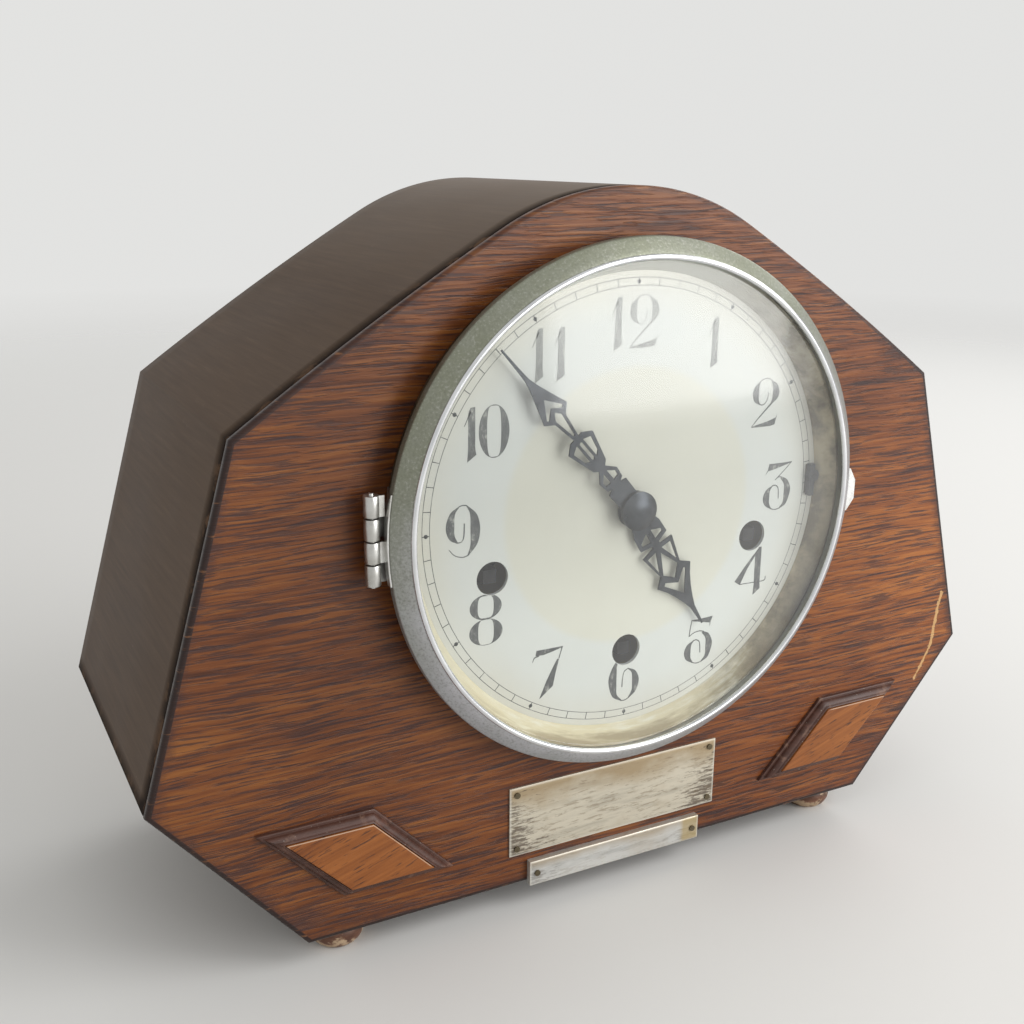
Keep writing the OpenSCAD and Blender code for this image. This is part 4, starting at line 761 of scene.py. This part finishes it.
def lozenge_board(side):
    """The lozenge's panel: an upright edge, a rounded arris and a flat face, with a fan of
    triangles about the middle of its face and another behind."""
    section = [(3.45, 0.02), (3.45, 4.15), (3.48, 4.35), (3.56, 4.48), (3.68, 4.56), (3.84, 4.585),
               (4.8, 4.59), (6.5, 4.59)]
    rows = lozenge_ring(section, side)
    n = rows.shape[1]
    co = np.concatenate([rows.reshape(-1, 3), rows[-1].mean(0)[None], rows[0].mean(0)[None]])
    k = np.arange(n)
    after = (k + 1) % n
    last = (len(rows) - 1) * n
    quads = grid_faces(len(rows), n, False, True)
    front = np.stack([last + after, last + k, np.full(n, len(co) - 2)], -1)
    base = np.stack([k, after, np.full(n, len(co) - 1)], -1)
    faces = np.concatenate([quads[:, [0, 1, 2]], quads[:, [0, 2, 3]], front, base])
    arris = np.array([0, 0, 0.5, 1, 0.8, 0.1, 0, 0])
    # the arris attribute is a painted highlight, weighted by lit towards the sides that face the light
    lit = np.repeat([1.0, 0.3, 0.2, 0.5] if side > 0 else [1.0, 0.9, 0.2, 0.2], n // 4)
    name = "lozenge_panel_" + ("right" if side > 0 else "left")
    edge = np.concatenate([np.outer(arris, lit).ravel(), [0, 0]])
    make(name + "_board", co, faces, "case", FIN["oak_panel"], stands_for=(name,),
         sharp=40, attrs={"arris": edge})


FOOT_R = 9.0


def bun_foot(x, y, name):
    """A turned foot: a ball cut flat below and above, at 0.69 of its half height, so that
    r = R sqrt(1 - (0.69 k)^2) for k from -1 to 1, carried round its own axis."""
    k = np.linspace(-1, 1, 17)
    z = (FOOT_H / MM) * (k + 1) / 2
    r = FOOT_R * np.sqrt(1 - (0.69 * k) ** 2)
    r, z = np.concatenate([[0.01], r, [0.01]]), np.concatenate([[0], z, [FOOT_H / MM]])
    a = np.linspace(0, 2 * np.pi, 48, endpoint=False)[:, None]
    co = np.stack([x + MM * r * np.cos(a), y + MM * r * np.sin(a), MM * z + 0 * a], -1)
    return make(name, co, grid_faces(48, len(r), True, True), "case",
                foot_finish, sharp=50)


def plate_piece(name, w, h, z0, thick, finish, stands_for, wave, gold=0.0):
    """A thin plate with softened edges: a grid over its face, lifted by a slow wave, and
    the same grid's rim carried back to the wood. It is w wide and h high, stands on the
    height z0, and gold is how yellow its right end is."""
    nx, nz = 90, 30
    u, v = np.meshgrid(np.linspace(-1, 1, nx), np.linspace(-1, 1, nz), indexing="ij")
    ease, margin, worn = 0.16, 0.6, 1.3
    du = np.clip((1 - np.abs(u)) * w / 2 / margin, 0, 1)
    dv = np.clip((1 - np.abs(v)) * h / 2 / margin, 0, 1)
    lift = thick - ease * (1 - np.minimum(du, dv)) ** 2
    lift = lift + wave * np.sin(u * 5.1 + 1.3 * v) * (1 - u ** 2) * 0.5
    top = put(u * w / 2, z0 + (v + 1) * h / 2, lift)
    low = put(u * w / 2, z0 + (v + 1) * h / 2, 0.02)
    n = nx * nz
    i = np.arange(n).reshape(nx, nz)
    face = grid_faces(nx, nz)
    edge = np.concatenate([i[0, :], i[1:, -1], i[-1, -2::-1], i[-2:0:-1, 0]])
    nxt = np.roll(edge, -1)
    wall = np.stack([edge, nxt, nxt + n, edge + n], -1)
    faces = np.concatenate([face, (face + n)[:, ::-1], wall[:, ::-1]])
    reach = lambda a, span: np.clip(1 - (1 - a) / span, 0, 1).ravel()
    flat = np.zeros(n)
    # rim: a line along the plate's edges, worn millimetres wide, which the finish paints as a bright
    # highlight
    line = np.maximum(reach(np.abs(u), worn / w), reach(np.abs(v), worn / h))
    over_face = {"near_end": reach(np.abs(u) * (1 - 0.25 * v), 0.42), "near_top": reach(v, 0.9),
                 "rim": line, "gold": gold * np.clip((u - 0.77) / 0.05, 0, 1).ravel()}
    make(name, np.concatenate([top.reshape(-1, 3), low.reshape(-1, 3)]), faces, "case",
         finish, stands_for=stands_for, sharp=40,
         attrs={key: np.concatenate([values, flat]) for key, values in over_face.items()})


front_veneer()
case_shell()
for s in (1, -1):
    lozenge_moulding(s)
    lozenge_board(s)
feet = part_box("bun_feet")
foot_places = [(x, y) for x in (feet[0].x + FOOT_R * MM, feet[1].x - FOOT_R * MM)
               for y in (feet[0].y + FOOT_R * MM, feet[1].y - FOOT_R * MM)]
foot_objects = [bun_foot(x, y, f"bun_foot_{i + 1}") for i, (x, y) in enumerate(foot_places)]
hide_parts("bun_feet")
plate_piece("plaque_large_plate", w=82, h=25, z0=BASE_Z + 11.3, thick=0.8,
            finish=FIN["plaque_metal"], stands_for=("plaque_large",), wave=0.12)
plate_piece("plaque_small_plate", w=68, h=8.8, z0=BASE_Z - 0.5, thick=2.4,
            finish=tag_finish, stands_for=("plaque_small",), wave=0.05, gold=0.7)


# ---------------------------------------------------------------- bezel, glass, sight ring
def lathe_piece(name, profile, body, finish, stands_for=()):
    """A ring: its closed profile of (radius, height) carried round the dial's axis."""
    co, faces = turned(profile, 256)
    make(name, co, faces, body, finish, stands_for=stands_for, sharp=35)


SEAT_R, BEZEL_R = 82.0, 84.5
seat = [(72.4, 0.02), (SEAT_R - 0.3, 0.02), (SEAT_R, 0.4), (SEAT_R, 8.1), (SEAT_R - 0.3, 8.4),
        (79.9, 8.4), (79.6, 8.1), (79.6, 2.3), (72.4, 2.3)]
lathe_piece("bezel_seat_ring", seat, "case", FIN["aged_brass"], ("bezel_seat",))
band = [(82.3, 7.0), (82.6, 6.7), (84.1, 6.7), (84.4, 6.85), (BEZEL_R, 7.2), (BEZEL_R, 9.1)]
band += [tuple(p) for p in arc(83.4, 9.1, 1.1, 8, 48, 6)]
band += [(82.6, 11.05), (81.2, 12.2), (80.0, 13.1), (79.55, 13.35), (79.3, 13.3), (78.65, 12.75),
         (78.65, 9.2), (79.5, 9.1), (79.8, 10.9), (82.3, 9.0)]
lathe_piece("bezel_band", band, "bezel", FIN["bezel_metal"], ("bezel_ring",))
lip = arc(78.6, 13.5, 0.9, 0, 345, 24)
lathe_piece("bezel_lip", lip, "bezel", lip_finish)
slope = [(74.0, 3.6), (75.1, 3.75), (75.6, 4.0), (77.9, 9.2), (78.5, 9.2), (78.5, 10.4), (77.6, 10.4)]
slope += [(77.6 - 3.6 * s, 10.4 - 6.8 * s) for s in np.linspace(0.05, 0.95, 12)]
lathe_piece("sight_ring_slope", slope, "bezel", FIN["sight_silver"],
            ("sight_ring",))


def rolled(z0, z1, axis):
    """A rolled knuckle: a tube round the hinge's upright axis, given by how far across and
    in front it stands, from z0 up to z1, with softly rounded ends."""
    r, bore, e = 2.3, 0.86, 0.32
    a = np.linspace(0, 2 * np.pi, 48, endpoint=False)[:, None]
    prof = [(bore, z0), (r - e, z0), (r - 0.3 * e, z0 + 0.3 * e), (r, z0 + e), (r, z1 - e),
            (r - 0.3 * e, z1 - 0.3 * e), (r - e, z1), (bore, z1)]
    rr, zz = np.array(prof).T
    co = put(axis[0] + rr * np.cos(a), zz + 0 * a, axis[1] + rr * np.sin(a))
    return co.reshape(-1, 3), grid_faces(48, len(prof), True, True)


def tongue_block(x, z, h):
    """The straight tongue that joins a knuckle to its leaf: a block between two values of
    x, of z and of h."""
    co = put(*[np.array(v, float) for v in zip(*[(a, b, c) for a in x for b in z for c in h])])
    return co, np.array([[0, 1, 3, 2], [4, 6, 7, 5], [0, 4, 5, 1], [2, 3, 7, 6], [0, 2, 6, 4],
                         [1, 5, 7, 3]])


def curved_leaf(r, t, h0, h1, half, lift):
    """A thin strip bent round the dial's centre at radius r, from half below the height
    lift to half above it."""
    a = np.pi - np.linspace(np.arcsin((lift - half) / r), np.arcsin((lift + half) / (r + t)),
                            33)[:, None]
    prof = [(r, h0), (r + t - 0.15, h0), (r + t, h0 + 0.15), (r + t, h1 - 0.15),
            (r + t - 0.15, h1), (r, h1)]
    rr, hh = np.array(prof).T
    co = put(rr * np.cos(a), rr * np.sin(a), hh + 0 * a).reshape(-1, 3)
    n = len(prof)
    side = grid_faces(33, n, False, True)
    caps = np.array([[0, 1, 2, 3], [0, 3, 4, 5]])
    return co, np.concatenate([side, caps, (caps + 32 * n)[:, ::-1]])


def joined(parts):
    """Several closed shapes in one list of points and one of faces, all outwards."""
    co, faces, n = [], [], 0
    for c, f in parts:
        c = np.asarray(c).reshape(-1, 3)
        if signed_volume(c - c.mean(0), f) < 0:
            f = f[:, ::-1]
        co.append(c)
        faces.append(f + n)
        n += len(c)
    return np.concatenate(co), np.concatenate(faces)


def bezel_hinge():
    """Four knuckles on one pin; the first and third, counted from the top, belong to the
    bezel's strap, the others to the fixed leaf."""
    axis = (-(BEZEL_R + 3.7), 6.0)
    length, knuckle, lift = 27.2, 6.8, 2.0
    for name, body, r, turn, h0, h1, tongue in (
            ("bezel_hinge_strap", "bezel", BEZEL_R, (0, 2), 6.75, 9.35, 7.3),
            ("bezel_hinge_leaf", "case", SEAT_R, (1, 3), 0.25, 6.35, 4.3)):
        parts = [curved_leaf(r + 0.03, 0.46, h0, h1, length / 2 - 0.02, lift)]
        for k in turn:
            top = lift + length / 2 - k * knuckle - 0.2
            parts.append(rolled(top - knuckle + 0.4, top, axis))
            parts.append(tongue_block((axis[0] + 1.0, -(r + 0.2)),
                                      (top - knuckle + 0.5, top - 0.1),
                                      (tongue - 0.02, tongue - 0.86)))
        co, faces = joined(parts)
        make(name + "_rolled", co, faces, body, hinge_nickel, stands_for=(name,),
             sharp=38)


bezel_hinge()


def glass_dome():
    """Two shallow spheres' caps about one centre, joined at the rim, of which the outer one
    rises by rise over the radius chord, so that its ball's radius is (chord^2 + rise^2) /
    (2 rise). The pole of each cap is one point with a fan of triangles round it."""
    rim, thick, edge = 78.5, 1.8, 12.5
    chord, rise = 77.7, 7.0
    ball = (chord ** 2 + rise ** 2) / (2 * rise)
    peak = edge + rise
    r = np.linspace(0, rim, 40)[1:]
    out = peak - ball + np.sqrt(ball ** 2 - r ** 2)
    inn = peak - ball + np.sqrt((ball - thick) ** 2 - r ** 2)
    count = 160
    rr, hh = np.concatenate([r, r[::-1]]), np.concatenate([out, inn[::-1]])
    a = np.linspace(0, 2 * np.pi, count, endpoint=False)[:, None]
    ring = put(rr * np.cos(a), rr * np.sin(a), hh + 0 * a).reshape(-1, 3)
    n, m = len(ring), len(rr)
    co = np.concatenate([ring, put([0], [0], [peak]), put([0], [0], [peak - thick])])
    quads = grid_faces(count, m, True, False)
    i = np.arange(count)
    j = (i + 1) % count
    fans = np.concatenate([np.stack([np.full(count, n), j * m, i * m], -1),
                           np.stack([i * m + m - 1, j * m + m - 1, np.full(count, n + 1)], -1)])
    mesh = bpy.data.meshes.new("glass_pane")
    mesh.from_pydata(co.tolist(), [], quads.tolist() + fans.tolist())
    mesh.polygons.foreach_set("use_smooth", [True] * len(mesh.polygons))
    mesh.materials.append(FIN["clear_glass"])
    bm = bmesh.new()
    bm.from_mesh(mesh)
    bmesh.ops.recalc_face_normals(bm, faces=bm.faces)
    bm.to_mesh(mesh)
    bm.free()
    mesh.set_sharp_from_angle(angle=math.radians(40))
    obj = bpy.data.objects.new("glass_pane", mesh)
    bpy.context.scene.collection.objects.link(obj)
    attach(obj, "bezel")
    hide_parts("bezel_glass")


glass_dome()

# ---------------------------------------------------------------- printing on the dial
# The printing stands a hair in front of the dial's face, and the winding holes, with their
# radius, are cut out of it.
PRINT_H = 3.53
HOLES, HOLE_R = np.array([[0, -48.6], [49, -16.2], [-49, -16.2]]), 5.45
TRACK_R, TRACK_W = 69.5, 2.4
FIGURES_R, FIGURE_SIZE = 58.6, 17.75


class Printing:
    """Collects thin flat shapes that lie just above the dial into one mesh."""

    def __init__(self):
        self.co, self.faces, self.n = [], [], 0

    def band(self, a, b, across=1):
        """Quads between two curves with the same number of points, in rows across."""
        a, b = np.asarray(a, float), np.asarray(b, float)
        u = np.linspace(0, 1, across + 1)[:, None, None]
        self.co.append((a + (b - a) * u).reshape(-1, 2))
        self.faces.append(grid_faces(across + 1, len(a)) + self.n)
        self.n += (across + 1) * len(a)

    def line(self, pts, w0, w1):
        """A stroke along a curve, w0 wide at its start and w1 at its end."""
        p = smooth_curve(pts, 10)
        d = np.gradient(p, axis=0)
        d /= np.maximum(np.linalg.norm(d, axis=1)[:, None], 1e-9)
        side = np.stack([-d[:, 1], d[:, 0]], -1)
        w = np.linspace(w0, w1, len(p))[:, None] / 2
        self.band(p + side * w, p - side * w, 2)

    def finish(self, name, material):
        """Cuts away what lies over the winding holes, then makes the mesh."""
        co, faces = np.concatenate(self.co), np.concatenate(self.faces)
        for hole in HOLES:
            d = co - hole
            r = np.linalg.norm(d, axis=1)
            inside = r < HOLE_R
            faces = faces[~inside[faces].all(1)]
            co[inside] = hole + d[inside] * (HOLE_R / np.maximum(r[inside], 1e-6))[:, None]
        make(name, put(co[:, 0], co[:, 1], PRINT_H), faces, "case", material,
             closed=False, facing=(0, -1, 0), smooth=False)


def smooth_curve(pts, n):
    """Catmull-Rom curve through the points, n steps between neighbours."""
    p = np.asarray(pts, float)
    if len(p) == 2:
        return p[0] + (p[1] - p[0]) * np.linspace(0, 1, n)[:, None]
    q = np.concatenate([[2 * p[0] - p[1]], p, [2 * p[-1] - p[-2]]])
    t = np.linspace(0, 1, n, endpoint=False)[:, None]
    parts = [0.5 * (2 * q[i + 1] + (q[i + 2] - q[i]) * t
                    + (2 * q[i] - 5 * q[i + 1] + 4 * q[i + 2] - q[i + 3]) * t ** 2
                    + (3 * q[i + 1] - q[i] - 3 * q[i + 2] + q[i + 3]) * t ** 3)
             for i in range(len(p) - 1)]
    return np.concatenate(parts + [p[-1:]])


def polyline(pts, n):
    """Straight lines through the points, n steps between neighbours."""
    p = np.asarray(pts, float)
    parts = [np.linspace(p[i], p[i + 1], n, endpoint=False) for i in range(len(p) - 1)]
    return np.concatenate(parts + [p[-1:]])


def bowl(cx, cy, rx, ry, hw, hh):
    """The curves of a ringed figure: an oval outside, a straight-sided slot inside."""
    a = np.linspace(0, 2 * np.pi, 73)
    c, s = np.cos(a), np.sin(a)
    outer = np.stack([cx + rx * c, cy + ry * s], -1)
    inner = np.stack([cx + hw * np.sign(c) * np.abs(c) ** 0.42,
                      cy + hh * np.sign(s) * np.abs(s) ** 0.8], -1)
    return ("band", outer, inner, False)


# Each figure is drawn in a square of 400 units, y down, its middle at 200, 200: bands
# between two curves, and lines with a width.
def one_strokes(x):
    """The strokes of a 1 whose stem stands at x."""
    return [("band", [(x - 8, 28), (x - 24, 72), (x - 26, 200), (x - 27, 300), (x - 34, 392)],
             [(x + 26, 25), (x + 26, 100), (x + 26, 200), (x + 26, 300), (x + 34, 345)], True),
            ("line", [(x - 6, 52), (x - 54, 150)], 9, 5)]


def two_strokes(dx=0, k=1.0):
    """The strokes of a 2, moved across by dx and narrowed by k."""
    s = [("line", [(150, 37), (172, 24), (200, 20), (230, 24), (258, 38)], 8, 8),
         ("band", [(152, 34), (100, 72), (85, 126), (104, 186), (152, 213)],
          [(152, 42), (143, 78), (142, 124), (143, 176), (160, 207)], True),
         ("line", [(152, 211), (186, 214), (214, 192), (225, 158), (228, 120)], 8, 7),
         ("band", [(254, 35), (308, 68), (331, 122), (318, 172), (264, 216)],
          [(250, 41), (267, 76), (270, 125), (267, 172), (254, 212)], True),
         ("line", [(264, 208), (200, 266), (134, 328), (90, 376)], 15, 7),
         ("band", [(90, 377), (120, 365), (200, 351), (262, 336), (318, 318)],
          [(92, 380), (140, 381), (200, 381), (262, 381), (306, 372)], False),
         ("line", [(316, 322), (322, 298)], 7, 3)]
    return shifted(s, dx, k)


def shifted(strokes, dx, k):
    """The same figure moved across by dx and narrowed by k about its middle."""
    out = []
    for kind, a, b, c in strokes:
        mv = lambda p: [(200 + (q[0] - 200) * k + dx, q[1]) for q in p]
        out.append((kind, mv(a), mv(b) if kind == "band" else b, c))
    return out


def lower_bowl():
    """The open lower bowl that the 3 and the 5 share."""
    return [("band", [(236, 128), (292, 160), (324, 240), (292, 344), (232, 380)],
             [(222, 140), (259, 190), (263, 262), (260, 330), (226, 372)], True),
            ("line", [(236, 376), (186, 383), (140, 370)], 8, 8),
            ("band", [(152, 188), (92, 220), (66, 280), (86, 338), (146, 376)],
             [(152, 196), (130, 228), (127, 284), (130, 330), (150, 368)], True),
            ("line", [(144, 192), (176, 190), (203, 210), (211, 250), (214, 300)], 9, 9)]


FIGURES = {
    1: one_strokes(200),
    2: two_strokes(),
    3: [("band", [(108, 17), (180, 18), (250, 18), (326, 16)],
         [(93, 74), (172, 60), (246, 42), (316, 26)], False),
        ("line", [(94, 72), (78, 98)], 8, 4),
        ("line", [(320, 20), (246, 86), (172, 148)], 7, 8),
        ("line", [(170, 147), (204, 128), (240, 132)], 7, 8)] + lower_bowl(),
    4: [("band", [(240, 6), (206, 60), (207, 200), (209, 300), (204, 392)],
         [(264, 8), (265, 100), (265, 200), (265, 290), (270, 346)], False),
        ("band", [(246, 4), (190, 62), (108, 152), (22, 257)],
         [(246, 12), (204, 76), (140, 164), (74, 291)], False),
        ("line", [(70, 286), (180, 288), (292, 290)], 7, 7),
        ("line", [(290, 291), (314, 282), (319, 254)], 9, 10)],
    5: [("band", [(122, 20), (190, 22), (250, 21), (318, 17)],
         [(124, 30), (190, 44), (240, 57), (298, 70)], False),
        ("line", [(297, 68), (292, 94)], 7, 4),
        ("line", [(125, 24), (114, 84), (106, 150)], 8, 8),
        ("line", [(104, 152), (150, 128), (200, 121), (240, 131)], 7, 8)] + lower_bowl(),
    6: [("band", [(196, 18), (112, 64), (60, 166), (62, 250), (96, 336), (166, 380)],
         [(200, 26), (134, 72), (126, 160), (127, 248), (132, 322), (174, 372)], True),
        ("line", [(164, 377), (202, 381), (242, 366)], 8, 8),
        ("band", [(222, 123), (290, 158), (323, 232), (302, 318), (236, 374)],
         [(222, 131), (257, 170), (263, 240), (262, 310), (230, 366)], True),
        ("line", [(228, 127), (194, 146), (180, 188), (175, 270)], 8, 10)],
    7: [("band", [(106, 20), (190, 21), (250, 21), (322, 21)],
         [(99, 58), (160, 63), (240, 48), (312, 32)], False),
        ("line", [(128, 60), (90, 74), (75, 106)], 14, 4),
        ("line", [(317, 24), (290, 112)], 9, 8),
        ("band", [(277, 112), (240, 176), (190, 270), (134, 398)],
         [(292, 117), (268, 206), (245, 316), (137, 399)], False)],
    8: [bowl(189, 104, 122, 92, 61, 80), bowl(191, 288, 128, 97, 60, 92)],
    9: [("band", [(172, 20), (102, 68), (71, 162), (96, 244), (152, 279)],
         [(172, 28), (139, 76), (134, 160), (136, 222), (158, 271)], True),
        ("line", [(152, 275), (186, 270), (203, 232), (207, 145)], 8, 11),
        ("line", [(168, 24), (198, 19), (228, 24)], 8, 8),
        ("band", [(226, 20), (300, 92), (324, 192), (304, 296), (238, 374)],
         [(222, 27), (249, 86), (252, 190), (251, 300), (230, 366)], True),
        ("line", [(238, 371), (192, 380), (134, 360), (92, 314)], 9, 5)],
    10: one_strokes(86) + [bowl(250, 200, 113, 180, 52, 172)],
    11: one_strokes(98) + one_strokes(264),
    12: one_strokes(46) + two_strokes(48, 0.97),
}


def draw_numerals():
    """All twelve figures upright, their middles on one circle round the dial's centre."""
    ink_mesh = Printing()
    unit = FIGURE_SIZE / 400
    for hour, strokes in FIGURES.items():
        a = math.radians(30 * hour)
        mid = np.array([math.sin(a), math.cos(a)]) * FIGURES_R
        place = lambda p: mid + (np.asarray(p, float) - 200) * [unit, -unit]
        for kind, first, second, third in strokes:
            if kind == "band":
                curve = smooth_curve if third else polyline
                ink_mesh.band(place(curve(first, 8)), place(curve(second, 8)), 4)
            else:
                ink_mesh.line(place(first), second * unit, third * unit)
    ink_mesh.finish("dial_numerals", print_ink)


def draw_track():
    """Two hair circles with sixty short bars between them, and a round dot at each fifth
    minute."""
    m = Printing()
    a = np.linspace(0, 2 * np.pi, 241)
    circle = np.stack([np.sin(a), np.cos(a)], -1)
    hair, w = 0.19, 0.13
    outer = TRACK_R + TRACK_W
    for r in (TRACK_R, outer):
        m.band(circle * (r - hair / 2), circle * (r + hair / 2))
    for k in range(60):
        t = 2 * np.pi * k / 60
        d = np.array([math.sin(t), math.cos(t)])
        s = np.array([d[1], -d[0]])
        m.band([d * TRACK_R - s * w, d * outer - s * w], [d * TRACK_R + s * w, d * outer + s * w])
        if k % 5 == 0:
            b = np.linspace(0, np.pi, 9)
            half = np.stack([np.cos(b), np.sin(b)], -1)
            centre = d * (TRACK_R + TRACK_W / 2)
            dot = lambda up: centre + 0.66 * (half[:, :1] * d + up * half[:, 1:] * s)
            m.band(dot(-1), dot(1))
    m.finish("minute_track", track_ink)


draw_numerals()
draw_track()

# ---------------------------------------------------------------- floor, light, camera
def studio_floor():
    """A wide pale disc that fades away at its rim, so that no horizon shows."""
    f = Finish("studio_floor")
    dist = f.length(f.coords)
    nt = f.nt
    f.shader.inputs["Base Color"].default_value = (0.675, 0.668, 0.652, 1)
    f.shader.inputs["Roughness"].default_value = 0.75
    f.shader.inputs["Specular IOR Level"].default_value = 0.2
    clear = nt.nodes.new("ShaderNodeBsdfTransparent")
    both = nt.nodes.new("ShaderNodeMixShader")
    fade = f.ramp(f.math("MULTIPLY", dist, 0.25),
                  [(0.10, 0.0), (0.17, 0.15), (0.29, 0.5), (0.41, 0.85), (0.5, 1.0)])
    f.link(fade, both.inputs[0])
    f.link(f.shader.outputs[0], both.inputs[1])
    f.link(clear.outputs[0], both.inputs[2])
    f.link(both.outputs[0], nt.nodes["Material Output"].inputs["Surface"])
    a = np.linspace(0, 2 * np.pi, 64, endpoint=False)
    r = np.array([0.001, 0.5, 1.2, 2.4, 4.0])
    co = np.stack([np.outer(r, np.cos(a)), np.outer(r, np.sin(a)), np.zeros((5, 64))], -1)
    mesh = bpy.data.meshes.new("studio_floor")
    mesh.from_pydata(co.reshape(-1, 3).tolist(), [], grid_faces(5, 64, False, True).tolist())
    mesh.materials.append(f.mat)
    obj = bpy.data.objects.new("studio_floor", mesh)
    bpy.context.scene.collection.objects.link(obj)


def studio_world():
    """An even pale surround of strength 0.80, and 0.05 more where it is seen directly."""
    world = bpy.data.worlds.new("studio_world")
    bpy.context.scene.world = world
    world.use_nodes = True
    nt = world.node_tree
    sky = nt.nodes["Background"]
    sky.inputs["Color"].default_value = (0.90, 0.90, 0.885, 1)
    seen = nt.nodes.new("ShaderNodeLightPath")
    strength = nt.nodes.new("ShaderNodeMath")
    strength.operation = "MULTIPLY_ADD"
    strength.inputs[1].default_value = 0.05
    strength.inputs[2].default_value = 0.80
    nt.links.new(seen.outputs["Is Camera Ray"], strength.inputs[0])
    nt.links.new(strength.outputs[0], sky.inputs["Strength"])


studio_floor()
studio_world()


def area_light(name, loc, target, size, power):
    """A soft white rectangle of light at loc that faces target."""
    lamp = bpy.data.lights.new(name, "AREA")
    lamp.shape = "RECTANGLE"
    lamp.size, lamp.size_y = size
    lamp.energy = power
    obj = bpy.data.objects.new(name, lamp)
    bpy.context.scene.collection.objects.link(obj)
    obj.location = loc
    obj.rotation_euler = (Vector(target) - Vector(loc)).to_track_quat("-Z", "Y").to_euler()


area_light("window", (0.86, -0.90, 1.10), (0, -0.02, 0.12), (0.85, 0.85), 9.8)
area_light("side_light", (1.15, 0.55, 0.78), (0, 0.03, 0.18), (0.8, 0.6), 5)
area_light("low_window", (0.86, -1.24, 0.40), (0.03, -0.07, 0.17), (0.95, 0.66), 8.5)
area_light("low_window_wide", (1.00, -1.48, 0.36), (0.03, -0.07, 0.17), (1.5, 0.72), 5)

# The camera's place is given in dial radii from the dial's centre: across, in front, up.
DIAL_R = 0.071
az, el, roll = math.radians(-27.46), math.radians(16.39), math.radians(0.413)
back = np.array([math.sin(az) * math.cos(el), -math.cos(az) * math.cos(el), math.sin(el)])
right = np.array([math.cos(az), math.sin(az), 0.0])
up = np.cross(back, right)
right, up = (math.cos(roll) * right + math.sin(roll) * up,
             -math.sin(roll) * right + math.cos(roll) * up)
cam = bpy.data.cameras.new("camera")
cam.lens = 42.63
cam.sensor_width = 36
cam_obj = bpy.data.objects.new("camera", cam)
bpy.context.scene.collection.objects.link(cam_obj)
pos = (-2.8667 * DIAL_R, FRONT_Y - 4.4145 * DIAL_R, DIAL_Z + 1.5023 * DIAL_R)
cam_obj.matrix_world = Matrix([(*row, at) for row, at in zip(zip(right, up, back), pos)]
                              + [(0, 0, 0, 1)])
bpy.context.scene.camera = cam_obj
bpy.context.scene.view_settings.view_transform = "Standard"
